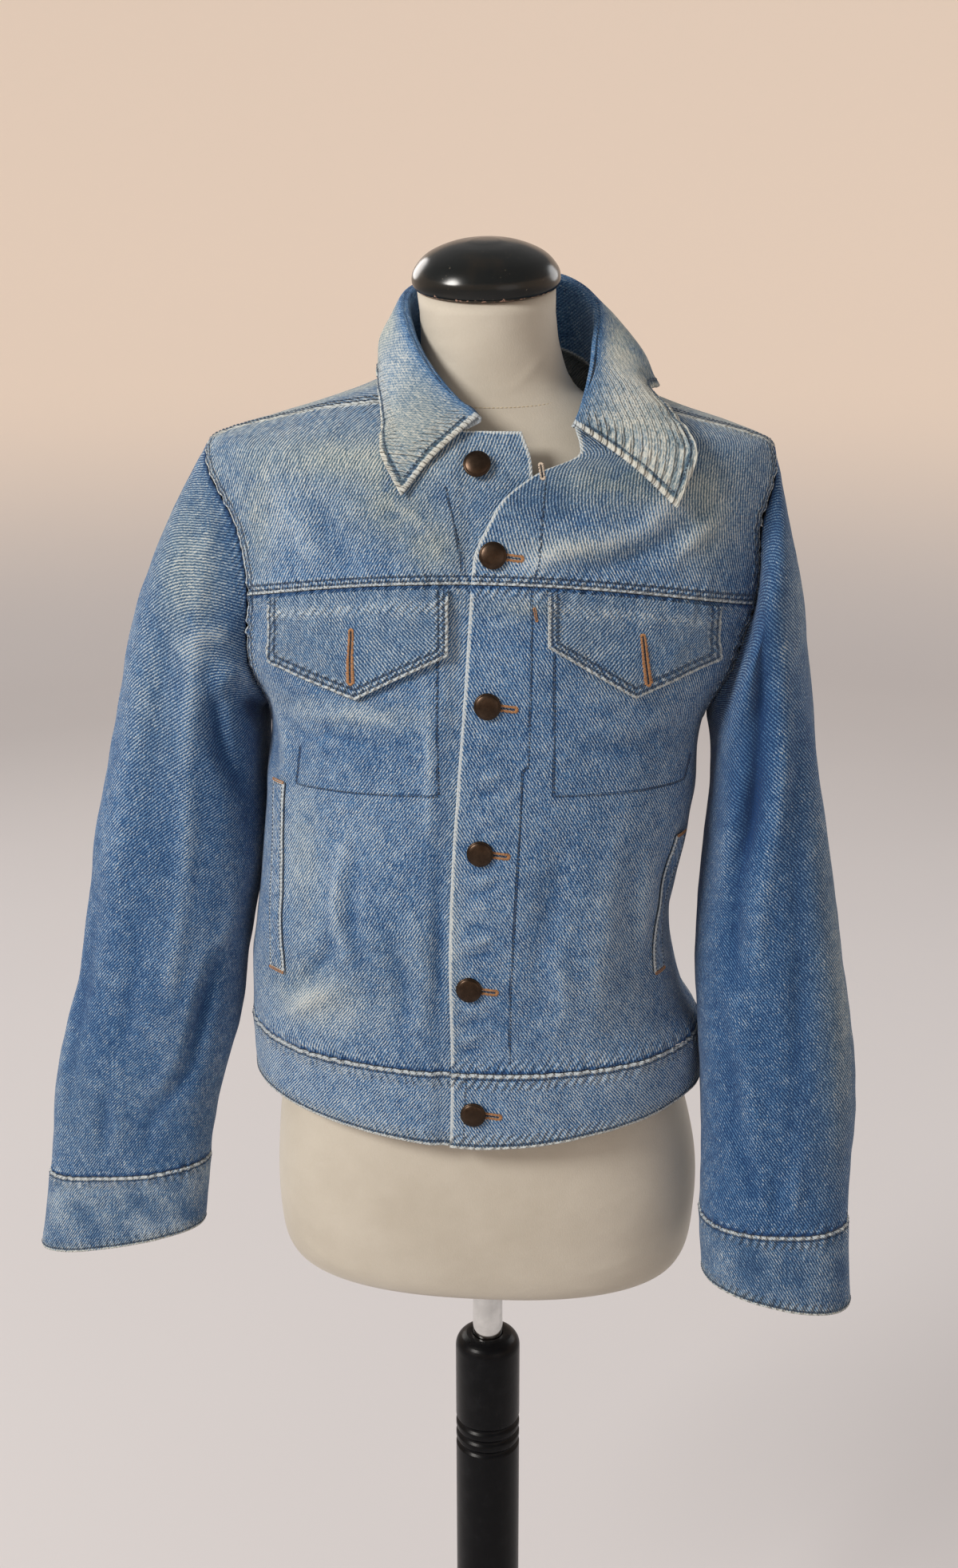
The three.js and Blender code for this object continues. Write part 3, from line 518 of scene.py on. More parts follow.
# Plain rows of stitches on the fronts, by x and height: the placket, its facing and the pocket bags.
FRONT_ROWS = [
    [
        (48, 1313), (45, 1262), (40.5, 1238), (40, 1164), (39, 1116), (35, 1113), (33, 1065), (30, 1004),
        (27, 942), (27, 889),
    ],
    [(-20, 1309), (-9, 1262), (-8, 1250)],
    [(-25, 1191), (-25, 1094), (-136, 1090), (-131, 1118)],
    [(56, 1196), (57, 1095), (150, 1093), (154, 1110)],
]


def felled_band(point, turn, level):
    """How far in from its seam each point of the felled bands is, and NO_BAND away from them."""
    level = np.asarray(level) + 0 * point[..., 0]
    on_front = np.cos(np.radians(turn)) > 0
    band = np.where((level >= YOKE) & on_front, level - YOKE, NO_BAND)
    behind = np.cos(np.radians(turn)) < np.cos(np.radians(shoulder_seam(level)))
    seams = [(line, True) for line in arm_lines.values()]
    seams += [(line, behind) for line in shoulder_lines.values()]
    for line, wanted in seams:
        inside = np.all((point > line.min(0) - 20) & (point < line.max(0) + 20), axis=-1) & wanted
        if inside.any():
            distance, _, _ = near(point[inside], line)
            band[inside] = np.minimum(band[inside], distance)
    return np.minimum(band, NO_BAND)


def plain_row(point, turn):
    """How far each point is from the nearest plain row of stitches, up to ROW_REACH."""
    on_front = np.cos(np.radians(turn)) > 0
    facing = np.where(on_front[..., None], point[..., [0, 2]], 1e4)
    distances = [near(facing, np.array(route, float))[0] for route in FRONT_ROWS]
    return np.minimum(np.min(distances, axis=0), ROW_REACH)


def body_cloth(turn, level, lift=0.0):
    """Points of the creased body, the direction outwards there, and the marks on the cloth."""
    turn, level = np.broadcast_arrays(np.asarray(turn, float), np.asarray(level, float))
    point = body(turn, level)
    out = outward(turn, level)
    marks = body_marks(point, out, turn, level)
    return point + out * (marks["height"] + lift)[..., None], out, marks


# ---- Meshes --------------------------------------------------------------------------------------
def link(name, mesh, material, node_body="figure", replaces=()):
    piece = bpy.data.objects.new(name, mesh)
    bpy.context.scene.collection.objects.link(piece)
    mesh.materials.append(material)
    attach(piece, node_body)
    if replaces:
        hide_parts(*replaces)
    return piece


def new_mesh(name, points, faces, marks=None, cloth=None):
    """A smooth-shaded mesh. `points` are in millimetres; `cloth` is where each point is on the flat cloth."""
    mesh = bpy.data.meshes.new(name)
    sides = faces.shape[1]
    mesh.vertices.add(len(points))
    mesh.vertices.foreach_set("co", (points * MM).astype(np.float32).ravel())
    mesh.loops.add(faces.size)
    mesh.loops.foreach_set("vertex_index", faces.astype(np.int32).ravel())
    mesh.polygons.add(len(faces))
    mesh.polygons.foreach_set("loop_start", np.arange(0, faces.size, sides, dtype=np.int32))
    mesh.polygons.foreach_set("loop_total", np.full(len(faces), sides, np.int32))
    mesh.polygons.foreach_set("use_smooth", np.ones(len(faces), bool))
    mesh.update(calc_edges=True)
    if cloth is not None:
        layer = mesh.uv_layers.new(name="cloth")
        layer.data.foreach_set("uv", (cloth[faces.ravel()] * MM).astype(np.float32).ravel())
    for key, values in (marks or {}).items():
        attribute = mesh.attributes.new(key, "FLOAT", "POINT")
        attribute.data.foreach_set("value", values.astype(np.float32).ravel())
    return mesh


EDGE_STEPS = np.array([0, 0.35, 0.9, 1.8, 3.0, 4.6])


def spread(length, cell):
    """Shares of a length: even cells of about `cell`, finer beside both ends."""
    count = max(2, round((length - 2 * EDGE_STEPS[-1]) / cell) + 1)
    middle = np.linspace(EDGE_STEPS[-1], length - EDGE_STEPS[-1], count)
    return np.concatenate([EDGE_STEPS[:-1], middle, length - EDGE_STEPS[::-1][1:]]) / length


def run_lengths(grid, axis):
    """Distance walked along one axis of a grid of points."""
    steps = np.linalg.norm(np.diff(grid, axis=axis), axis=-1)
    start = np.zeros_like(np.take(steps, [0], axis=axis))
    return np.cumsum(np.concatenate([start, steps], axis=axis), axis=axis)


def wall_faces(rows, across, wraps):
    def index(side, row, place):
        return side * rows * across + row * across + place % across

    cells = across if wraps else across - 1
    row, place = np.meshgrid(np.arange(rows - 1), np.arange(cells), indexing="ij")
    row, place = row.ravel(), place.ravel()
    corners = ((0, 0), (0, 1), (1, 1), (1, 0))
    outer = [index(0, row + down, place + over) for down, over in corners]
    inner = [index(1, row + over, place + down) for down, over in corners]
    faces = [np.stack(outer, 1), np.stack(inner, 1)]
    place = np.arange(cells)
    for end, turned in ((0, False), (rows - 1, True)):
        rim = [index(0, end, place), index(1, end, place), index(1, end, place + 1), index(0, end, place + 1)]
        faces.append(np.stack(rim[::-1] if turned else rim, 1))
    if not wraps:
        row = np.arange(rows - 1)
        for end, turned in ((0, False), (across - 1, True)):
            rim = [index(0, row, end), index(0, row + 1, end), index(1, row + 1, end), index(1, row, end)]
            faces.append(np.stack(rim[::-1] if turned else rim, 1))
    return np.concatenate(faces)


RIM = 0.9  # how far in from its edge a wall is rounded
RIM_DEPTH = 0.44  # the share of its thickness that the rounding takes off each side


def cloth_wall(grid, out, thickness, marks, wraps=False, anchor=0.5):
    """A closed wall of cloth under a grid of points, its edges rounded. Returns what new_mesh needs.

    The weave is laid straight along the column at `anchor`, a share of the way across.
    """
    rows, across = grid.shape[:2]
    down, over = run_lengths(grid, 0), run_lengths(grid, 1)
    to_end = np.minimum(down, down[-1:] - down)
    to_side = np.full(to_end.shape, 1e3) if wraps else np.minimum(over, over[:, -1:] - over)
    edge = np.minimum(to_end, to_side)
    near_rim = 1 - np.clip(edge / RIM, 0, 1)
    drop = RIM_DEPTH * thickness * (1 - np.sqrt(1 - np.clip(near_rim, 0, 0.999) ** 2))
    outer = grid - out * drop[..., None]
    inner = grid - out * (thickness - drop)[..., None]
    points = np.concatenate([outer.reshape(-1, 3), inner.reshape(-1, 3)])
    faces = wall_faces(rows, across, wraps)
    r, c = rows // 2, across // 3
    faces_out = np.cross(grid[r, c + 1] - grid[r, c], grid[r + 1, c] - grid[r, c]) @ out[r, c]
    if faces_out < 0:
        faces = faces[:, ::-1]
    column = int(anchor * (across - 1))
    straight = slice(column, column + 1)
    flat = np.stack([over - over[:, straight], -(down[:, straight] + 0 * over)], -1).reshape(-1, 2)
    both = {key: np.tile(values.ravel(), 2) for key, values in marks.items() if key != "height"}
    both["edge"] = both["edge"] + np.tile(edge.ravel(), 2)
    both["inside"] = np.repeat([0.0, 1.0], edge.size)
    both.setdefault("row", np.full(2 * edge.size, ROW_REACH))
    return points, faces, both, np.tile(flat, (2, 1))


def add_cloth(name, grid, out, thickness, marks, material, wraps=False, anchor=0.5):
    points, faces, both, flat = cloth_wall(grid, out, thickness, marks, wraps, anchor)
    mesh = new_mesh(name + "_cloth", points, faces, both, flat)
    link(name + "_cloth", mesh, material, replaces=[name])


# ---- Materials -----------------------------------------------------------------------------------
def linear(hexes):
    parts = [int(hexes[i : i + 2], 16) / 255 for i in (0, 2, 4)]
    return [c / 12.92 if c <= 0.04045 else ((c + 0.055) / 1.055) ** 2.4 for c in parts] + [1.0]


class Nodes:
    """A short way to write a material's nodes."""

    def __init__(self, name, **settings):
        self.material = bpy.data.materials.new(name)
        self.material.use_nodes = True
        self.tree = self.material.node_tree
        self.surface = self.tree.nodes["Principled BSDF"]
        for socket, value in settings.items():
            self.surface.inputs[socket.replace("_", " ")].default_value = value

    def look(self, socket, value):
        self.put(value, self.surface.inputs[socket])

    def put(self, value, socket):
        if isinstance(value, bpy.types.NodeSocket):
            self.tree.links.new(value, socket)
        else:
            socket.default_value = value

    def node(self, kind, output, inputs, **settings):
        made = self.tree.nodes.new(kind)
        for key, value in settings.items():
            setattr(made, key, value)
        for key, value in inputs.items():
            self.put(value, made.inputs[key])
        return made.outputs[output]

    def math(self, operation, a, b=0.0, clamp=False):
        return self.node("ShaderNodeMath", 0, {0: a, 1: b}, operation=operation, use_clamp=clamp)

    def add(self, a, b):
        return self.math("ADD", a, b)

    def times(self, a, b):
        return self.math("MULTIPLY", a, b)

    def value(self, name):
        return self.node("ShaderNodeAttribute", "Fac", {}, attribute_name=name)

    def place(self):
        return self.node("ShaderNodeTexCoord", "Object", {})

    def split(self, where):
        made = self.tree.nodes.new("ShaderNodeSeparateXYZ")
        self.put(where, made.inputs[0])
        return made.outputs

    def noise(self, where, scale, detail=2.0, rough=0.5, distortion=0.0):
        inputs = {"Vector": where, "Scale": scale, "Detail": detail, "Roughness": rough}
        return self.node("ShaderNodeTexNoise", "Fac", {**inputs, "Distortion": distortion})

    def stretched(self, where, scale):
        return self.node("ShaderNodeMapping", 0, {"Vector": where, "Scale": scale})

    def blend(self, amount, a, b, kind="MIX"):
        made = self.tree.nodes.new("ShaderNodeMix")
        made.data_type = "RGBA"
        made.blend_type = kind
        self.put(amount, made.inputs[0])
        self.put(a, made.inputs[6])
        self.put(b, made.inputs[7])
        return made.outputs[2]

    def ramp(self, amount, *stops):
        made = self.tree.nodes.new("ShaderNodeValToRGB")
        elements = made.color_ramp.elements
        while len(elements) < len(stops):
            elements.new(0.5)
        for element, (place, colour) in zip(elements, stops):
            element.position = place
            element.color = linear(colour)
        self.put(amount, made.inputs[0])
        return made.outputs[0]

    def between(self, amount, low, high):
        inputs = {"Value": amount, "From Min": low, "From Max": high}
        return self.node("ShaderNodeMapRange", 0, inputs, interpolation_type="SMOOTHSTEP")

    def bump(self, height, strength, distance, normal=None):
        inputs = {"Height": height, "Strength": strength, "Distance": distance}
        if normal is not None:
            inputs["Normal"] = normal
        return self.node("ShaderNodeBump", 0, inputs)


TWILL_PITCH = 0.0019
TWILL_ANGLE = math.radians(55)
ROPE_PITCH = 0.0066
ROPE_SLANT = 0.7
BAND_FADE = (3.4, 1.2)  # how far past the outer row of stitches a band's own look ends and is whole
GROOVE = (1.2, 0.3)  # how far from a row of stitches its groove ends and is whole
ROW_GROOVE = (1.4, 0.4)


def denim_material(name, worn=0.0, turned=1, wale=0.42):
    """Worn denim. `turned` below 0 lets the wales fall to the right instead of climbing."""
    n = Nodes(name, Roughness=0.9, Sheen_Weight=0.12, Sheen_Roughness=0.5, Specular_IOR_Level=0.15)
    cloth = n.node("ShaderNodeUVMap", 0, {}, uv_map="cloth")
    solid = n.place()
    across, down, _ = n.split(cloth)
    # The weave: slanting wales, a little uneven
    wander = n.noise(cloth, 330, 3)
    turns = n.add(
        n.times(across, math.sin(TWILL_ANGLE) / TWILL_PITCH),
        n.times(down, -turned * math.cos(TWILL_ANGLE) / TWILL_PITCH),
    )
    phase = n.times(n.add(turns, n.times(wander, 0.8)), 2 * math.pi)
    twill = n.times(n.math("SINE", phase), n.add(0.3, n.times(n.noise(cloth, 120, 3, 0.6), 1.2)))
    warp = n.add(n.noise(n.stretched(cloth, (1000, 110, 1)), 1.0, 2, 0.6), -0.5)
    weft = n.add(n.noise(n.stretched(cloth, (150, 1100, 1)), 1.0, 2, 0.6), -0.5)
    speckle = n.add(n.noise(cloth, 620, 2, 0.65), -0.5)
    yarns = n.add(n.add(n.times(warp, 1.2), n.times(weft, 0.7)), speckle)
    weave = n.add(n.times(twill, wale), yarns)
    # The dye: mottled patches of several sizes
    marble = n.noise(solid, 70, 5, 0.65, 0.4)
    clouds = n.noise(solid, 13, 3, 0.5, 0.3)
    mottle = n.add(n.times(n.add(marble, -0.5), 0.55), n.times(n.add(clouds, -0.5), 0.3))
    tone, rope, edge, band = n.value("tone"), n.value("rope"), n.value("edge"), n.value("band")
    # Roping beside seams: slanting pale and deep marks
    slant = n.times(n.add(across, n.times(down, ROPE_SLANT)), 2 * math.pi / ROPE_PITCH)
    ropes = n.math("SINE", n.add(slant, n.times(n.noise(cloth, 70, 3), 9)))
    flecks = n.add(n.noise(cloth, 230, 3, 0.6), -0.46)
    roping = n.times(rope, n.add(n.times(ropes, 0.1), n.times(flecks, 2.0)))
    on_band = n.between(band, *(STITCH_ROWS[1] + past for past in BAND_FADE))
    band_share = n.times(on_band, n.add(0.3, n.times(n.value("twice"), 0.7)))
    roping = n.add(roping, n.times(band_share, n.add(n.times(ropes, 0.13), 0.1)))
    # Along each row of stitches the cloth is drawn in and darker: deeper dye and painted shade in the groove
    grooves = 0.0
    for place, share in zip(STITCH_ROWS, (1.0, n.value("twice"))):
        off = n.math("ABSOLUTE", n.add(band, -place))
        grooves = n.add(grooves, n.times(n.between(off, *GROOVE), share))
    grooves = n.add(grooves, n.between(n.value("row"), *ROW_GROOVE))
    uneven = n.times(n.add(n.noise(cloth, 300, 3, 0.7), -0.5), 2.4)
    rub = n.between(n.add(edge, uneven), 3.3, 1.5)
    # tone carries wear and dye, and also painted shade: crease troughs, beside raised edges, under the arms,
    # the right sleeve
    level = n.add(n.add(0.43 + worn, n.times(tone, 0.52)), n.add(weave, mottle))
    level = n.add(level, n.add(roping, n.add(n.times(rub, 0.75), n.times(grooves, -0.55))))
    dye = n.ramp(level, (0.0, "1b3a66"), (0.5, "4b77a3"), (0.98, "b9c3c9"))
    greyed = n.ramp(level, (0.0, "3d5567"), (0.5, "7d8f97"), (0.98, "c6c8c0"))
    worn_through = n.between(n.add(marble, n.times(clouds, 0.7)), 0.35, 0.85)
    colour = n.blend(n.math("MULTIPLY", n.value("fade"), worn_through, True), dye, greyed)
    n.look("Base Color", n.blend(n.times(n.value("inside"), 0.65), colour, linear("98a4ad")))
    fine = n.bump(n.add(n.times(twill, 0.6), n.add(n.times(warp, 1.3), n.times(weft, 0.9))), 0.8, 0.0005)
    drawn = n.add(n.times(rope, n.add(ropes, n.noise(cloth, 200, 2))), n.times(grooves, -1.6))
    wrinkle = n.add(n.times(n.noise(solid, 120, 3, 0.55), 0.5), n.add(drawn, n.times(on_band, ropes)))
    n.look("Normal", n.bump(wrinkle, 0.7, 0.001, fine))
    return n.material


denim = denim_material("denim")
worn_denim = denim_material("worn_denim", worn=0.05)
collar_denim = denim_material("collar_denim", worn=0.14, turned=-1, wale=0.14)


# ---- Body pieces ---------------------------------------------------------------------------------
def even_levels(low, high, turns, cell):
    """Levels spaced evenly over the cloth, from the mean climb at a few turns."""
    fine = np.linspace(low, high, 240)
    climb = np.mean([run_lengths(body(turn, fine), 0) for turn in turns], axis=0)
    shares = spread(climb[-1], cell)
    return np.interp(shares * climb[-1], climb, fine)


def shadow_under(distance, marks, depth=1.1):
    """Painted shadow: the cloth beside the raised edge of its neighbour is darkened, and its own edge isn't
    rubbed.
    """
    marks["tone"] = marks["tone"] - depth * (1 - smooth(distance, 0.8, 3.6))
    marks["edge"] = marks["edge"] + 6 * (1 - smooth(distance, 3, 6))


def add_body_piece(name, ends, edges, cell, slot="denim", thickness=CLOTH, sink=None, extra=None):
    """A piece of the body between two levels and two edges."""
    (low, high), (start, end) = ends, edges
    sign = 1 if start((low + high) / 2) < end((low + high) / 2) else -1
    levels = even_levels(low + GAP / 2, high - GAP / 2, [20 * sign, 50 * sign, 75 * sign], cell)[:, None]
    middle = np.array([[(low + high) / 2]])
    first, last = float(start(middle)[0, 0]), float(end(middle)[0, 0])
    width = run_lengths(body(np.linspace(first, last, 80), middle[0]), 0)[-1]
    shares = spread(float(width), cell)[None, :]
    seam = sign * np.degrees(GAP / 2 / BODY.at("right", levels))
    turns = mix(start(levels) + seam, end(levels) - seam, shares)
    grid, out, marks = body_cloth(turns, levels)
    if sink is not None:
        grid = grid - out * sink(turns, levels + 0 * turns)[..., None]
    if extra is not None:
        extra(turns, levels + 0 * turns, grid, marks)
    anchor = 0.5 if name in ("back", "waistband_back") else 0.0
    material = {"denim": denim, "worn_denim": worn_denim}[slot]
    add_cloth(name, grid, out, thickness, marks, material, anchor=anchor)


# The edges of the body's pieces, as turns at a level: towards the placket first, then the side.
RIGHT = (lambda level: turn_at(RIGHT_EDGE.at("x", level), level), lambda level: side_turn("right", level))
LEFT = (lambda level: turn_at(LEFT_EDGE.at("x", level), level), lambda level: -side_turn("left", level))
BACK = (lambda level: side_turn("behind", level), lambda level: 360 - side_turn("behind", level))


# Painted shadow on the lower pieces under the yoke's raised edge and above the waistband.
def lower_marks(turns, levels, grid, marks):
    under_yoke = (np.cos(np.radians(turns)) > 0) & (levels <= YOKE)
    shadow_under(np.where(under_yoke, YOKE - levels, 99), marks)
    shadow_under(levels - WAISTBAND, marks)


FRONT_CELL = 2.2
BACK_CELL = 3.6
add_body_piece("front_right", (WAISTBAND, YOKE), RIGHT, FRONT_CELL, extra=lower_marks)
add_body_piece("front_left", (WAISTBAND, YOKE), LEFT, FRONT_CELL, sink=lap_sink, extra=lower_marks)
add_body_piece("yoke_right", (YOKE, NECK), RIGHT, FRONT_CELL)
add_body_piece("yoke_left", (YOKE, NECK), LEFT, FRONT_CELL, sink=lap_sink)
add_body_piece("back", (WAISTBAND, NECK), BACK, BACK_CELL, extra=lower_marks)

BAND_PROUD = 0.9


def band_sink(turns, levels):
    return lap_sink(turns, levels) * (DOUBLE_CLOTH / CLOTH) - BAND_PROUD


def band_proud(turns, levels):
    return -BAND_PROUD + 0 * turns


def band_marks(turns, levels, grid, marks):
    marks["rope"] = np.maximum(marks["rope"], 0.5 * np.exp(-(((levels - HEM) / 8) ** 2)))
    marks["tone"] = marks["tone"] + 0.08
    marks["band"] = np.minimum(WAISTBAND - levels, levels - HEM)
    marks["twice"] = 0 * levels
    marks["fade"] = marks["fade"] + 0.5 * np.exp(-(((levels - HEM) / 6) ** 2))


BANDS = {
    "waistband_right": (RIGHT, band_proud, 2.4),
    "waistband_left": (LEFT, band_sink, 2.4),
    "waistband_back": (BACK, band_proud, 3.2),
}
for name, (edges, sink, cell) in BANDS.items():
    add_body_piece(name, (HEM, WAISTBAND), edges, cell, "worn_denim", DOUBLE_CLOTH, sink, band_marks)


# ---- Flaps and welts -----------------------------------------------------------------------------
FLAPS = {
    "flap_left": {"inner": -17, "outer": -150, "side": 46, "point": 76, "seed": 31},
    "flap_right": {"inner": 51, "outer": 171, "side": 38, "point": 70, "seed": 32},
}
FLAP_HIGHEST = 1244  # the yoke's edge counts as no higher than this where a flap starts
FLAP_DROP = 3  # how far under that edge it starts
FLAP_LEAST = 0.4  # the least that a flap stands off the front
WELT_TURN = 7.6
WELTS = {
    "welt_left": {"top": (-61, 1086), "foot": (-54, 942)},
    "welt_right": {"top": (70, 1050), "foot": (64, 944)},
}


def flap_size(flap):
    """The flap's width and the slope of its lower edges."""
    width = abs(flap["outer"] - flap["inner"])
    return width, math.atan2(flap["point"] - flap["side"], width / 2)


def flap_length(flap, along):
    return mix(flap["point"], flap["side"], np.abs(2 * along - 1))


def flap_top(x):
    return np.minimum(body(turn_at(x, YOKE + 0 * x), YOKE)[..., 2], FLAP_HIGHEST) - FLAP_DROP


def flap_height(flap, along, down):
    """How far the flap's own cloth stands off the front: its turned edges are thick and its sides lift."""
    length = flap_length(flap, along)
    width, slope = flap_size(flap)
    to_edge = np.minimum((1 - down) * length * math.cos(slope), (0.5 - np.abs(along - 0.5)) * width)
    wave = waves(flap["seed"], 8, 16, 60, 2)(np.stack([along * width, down * 60 + 0 * along], -1))
    wrinkle = pucker_wave((along * width + down * 30)[..., None]) * np.exp(-to_edge / 6)
    lift = 1.9 * smooth(down, 0.2, 1.0) + 0.6 * (1 - smooth(to_edge, 6, 8)) + 0.5 * wave + 0.3 * wrinkle
    contour = np.exp(-(((down * length - 12) / 4) ** 2))
    return lift + 0.5 * contour, to_edge, contour


def flap_cloth(flap, along, down, lift=0.0):
    """Points of the flap's outside, the way out, the marks, and the distances flap_height gives."""
    x = mix(flap["inner"], flap["outer"], along)
    turns, levels = place_at(x, flap_top(x) - down * flap_length(flap, along))
    point, out = body(turns, levels), outward(turns, levels)
    marks = body_marks(point, out, turns, levels)
    own, to_edge, contour = flap_height(flap, along, down)
    raised = marks["height"] + PATCH_LIFT + FLAP_CLOTH + np.maximum(own, FLAP_LEAST) + lift
    return point + out * raised[..., None], out, marks, to_edge, contour


for name, flap in FLAPS.items():
    along = spread(flap_size(flap)[0], 2.2)[None, :]
    down = spread((flap["side"] + flap["point"]) / 2, 2.0)[:, None]
    along, down = np.broadcast_arrays(along, down)
    grid, out, marks, to_edge, contour = flap_cloth(flap, along, down)
    marks["rope"] = 0.9 * np.exp(-((to_edge / 8) ** 2)) + 0.6 * contour
    marks["tone"] = 0.6 * marks["tone"] - 0.2 + 0.35 * contour
    marks["fade"] = 0.25 + 0 * along
    marks["edge"] = np.where(down < 0.08, 5.0, 0.0)
    marks["band"], marks["twice"] = to_edge, np.ones(along.shape)
    del marks["row"]
    add_cloth(name, grid, out, FLAP_CLOTH, marks, worn_denim)


def welt_place(welt, along, down):
    turn = mix(welt["top"][0], welt["foot"][0], down) + (along - 0.5) * WELT_TURN
    return turn, mix(welt["top"][1], welt["foot"][1], down)


for name, welt in WELTS.items():
    along = spread(17, 1.6)[None, :]
    down = spread(welt["top"][1] - welt["foot"][1], 2.6)[:, None]
    along, down = np.broadcast_arrays(along, down)
    grid, out, marks = body_cloth(*welt_place(welt, along, down), PATCH_LIFT + FLAP_CLOTH)
    marks["tone"] = marks["tone"] - 0.1
    marks["rope"] = 0.6 + 0 * along
    marks["band"], marks["twice"] = np.full(along.shape, NO_BAND), 0 * along
    del marks["row"]
    add_cloth(name, grid, out, FLAP_CLOTH, marks, worn_denim)


# ---- Sleeves -------------------------------------------------------------------------------------
SLEEVES = {
    "left": [
        [-237, 1281, -171, 1112, -4, 68],
        [-262, 1216, -173, 1080, -4, 66],
        [-290, 1120, -174.5, 1040, -6, 61],
        [-311, 1020, -182, 985, -9, 55],
        [-332, 900, -198, 890, -17, 46],
        [-354, 805, -219, 808, -26, 37],
        [-361, 740, -227, 757, -31, 31],
        [-370, 670, -235, 697, -34, 28],
    ],
    "right": [
        [220, 1279, 171, 1112, -6, 68],
        [234, 1213, 170, 1080, -8, 66],
        [245, 1130, 167, 1045, -12, 61],
        [260, 1035, 166, 1005, -21, 57],
        [275, 955, 164, 945, -33, 53],
        [286, 865, 169, 855, -49, 48],
        [288, 795, 171, 790, -60, 45],
        [287, 751, 173, 752, -70, 42],
        [290, 682, 177, 703, -78, 40],
    ],
}
SECTION = "outer_x outer_z inner_x inner_z y depth".split()
HEAD_STAND = 0.9  # how far a sleeve's head stands in from its armhole
HEAD_STEPS = 160
SLEEVE_LENGTH, SLEEVE_GIRTH = 600, 380
DEGREE = 1.05  # about how many millimetres a degree round the sleeve is


class Sleeve:
    """A tube from its armhole through slanting sections. Angles: 0 outer, 90 front, 180 inner, 270 behind."""

    def __init__(self, side):
        self.sign = -1 if side == "left" else 1
        self.sections = [dict(zip(SECTION, row)) for row in SLEEVES[side]]
        self.count = len(self.sections)
        turns, levels = armhole_line(side, self.sign, HEAD_STEPS)
        loop = body(turns, levels) - 0.1 * outward(turns, levels)
        coarse = loop[:: len(loop) // 24]
        inwards = coarse.mean(0) - loop
        inwards[:, 0] = 0
        loop = loop + HEAD_STAND * unit(inwards)
        loop[:, 0] += self.sign * HEAD_STAND * 0.4
        self.loop = np.concatenate([loop, loop[:1]])
        walked = run_lengths(self.loop, 0)
        bottom = walked[HEAD_STEPS - 1]
        behind = 180 + (walked - bottom) / (walked[-1] - bottom) * 180
        self.loop_angles = np.where(walked <= bottom, walked / bottom * 180, behind)

    def head(self, angle):
        return walk_at(np.mod(angle, 360), self.loop_angles, self.loop)

    def ring(self, k, angle):
        section = self.sections[k]
        cosine, sine = np.cos(np.radians(angle)), np.sin(np.radians(angle))
        across = (1 + power(cosine, 0.9)) / 2
        x = mix(section["inner_x"], section["outer_x"], across)
        z = mix(section["inner_z"], section["outer_z"], across)
        return np.stack([x, section["y"] - power(sine, 0.9) * section["depth"], z], -1)

    def point(self, angle, along):
        angle, along = np.broadcast_arrays(np.asarray(angle, float), np.asarray(along, float))
        rings = [self.head(angle)] + [self.ring(k, angle) for k in range(self.count)]
        rings = np.stack([2 * rings[0] - rings[1], *rings, 2 * rings[-1] - rings[-2]])
        k = np.clip(np.floor(along).astype(int), 0, self.count - 1)
        t = (along - k)[..., None]
        a, b, c, d = (np.take_along_axis(rings, (k + i)[None, ..., None], 0)[0] for i in range(4))
        return bend(b, c, (c - a) / 2, (d - b) / 2, t)

    def outward(self, angle, along):
        low, high = np.maximum(np.subtract(along, 0.08), 0), np.minimum(np.add(along, 0.08), self.count)
        down = self.point(angle, high) - self.point(angle, low)
        around = self.point(np.add(angle, 2), along) - self.point(np.subtract(angle, 2), along)
        return unit(np.cross(around, down)) * self.sign

    def marks(self, point, out, angle, along):
        elevation = point[..., [0, 2]]
        forward = smooth(-out[..., 1], -0.15, 0.35)
        height, tone = crease_field(SLEEVE_CREASES, elevation)
        # Both sleeves are darker than the body; the right sleeve's larger drop is painted shade, for its side
        # turned from the key light.
        tone = (tone + patch_field(FRONT_TONES, elevation)) * forward - (0.28 if self.sign < 0 else 0.5)
        height = height * forward
        down = along / self.count * SLEEVE_LENGTH
        routes = [
            ([(a, share * SLEEVE_LENGTH) for a, share in route], width, size, shade)
            for route, width, size, shade in SLEEVE_SIDE_CREASES
        ]
        for turned in (0, 360):
            side_height, side_tone = crease_field(routes, np.stack([np.mod(angle, 360) + turned, down], -1))
            height = height + side_height * (1 - forward)
            tone = tone + side_tone * (1 - forward)
        height = 1.3 * height + 1.3 * ripple_wide(point + 200) + 0.35 * ripple_fine(point)
        height = height * smooth(down, 2, 26)
        cuff = (self.count - 1) / self.count * SLEEVE_LENGTH
        around = np.mod(angle, 360) * 1.1
        above = np.abs(cuff - down)
        height = height + puckers(around, above, 12, 0.7) + puckers(around * 1.3 + 40, down, 12, 0.4)
        rope = np.maximum(0.9 * np.exp(-((above / 9) ** 2)), 0.5 * np.exp(-((down / 10) ** 2)))
        for seam in (OUTER_SEAM, INNER_SEAM):
            off = np.abs(np.mod(angle - seam + 180, 360) - 180) * DEGREE
            height = height + puckers(down, off, 7, 0.3)
            rope = np.maximum(rope, 0.8 * np.exp(-((off / 6) ** 2)))
        outer = smooth(np.cos(np.radians(angle)), 0.3, 1.0)
        fade = patch_field(FRONT_FADES, elevation) * forward + 0.4 * outer * (1 - forward)
        off = np.mod(angle - OUTER_SEAM + 360, 360) * DEGREE
        band = np.where((off < 180) & (along < self.count - 1), np.minimum(off, NO_BAND), NO_BAND)
        return {
            "height": height, "tone": tone, "fade": fade, "rope": rope, "edge": 0 * tone,
            "band": band, "twice": np.ones(tone.shape),
        }

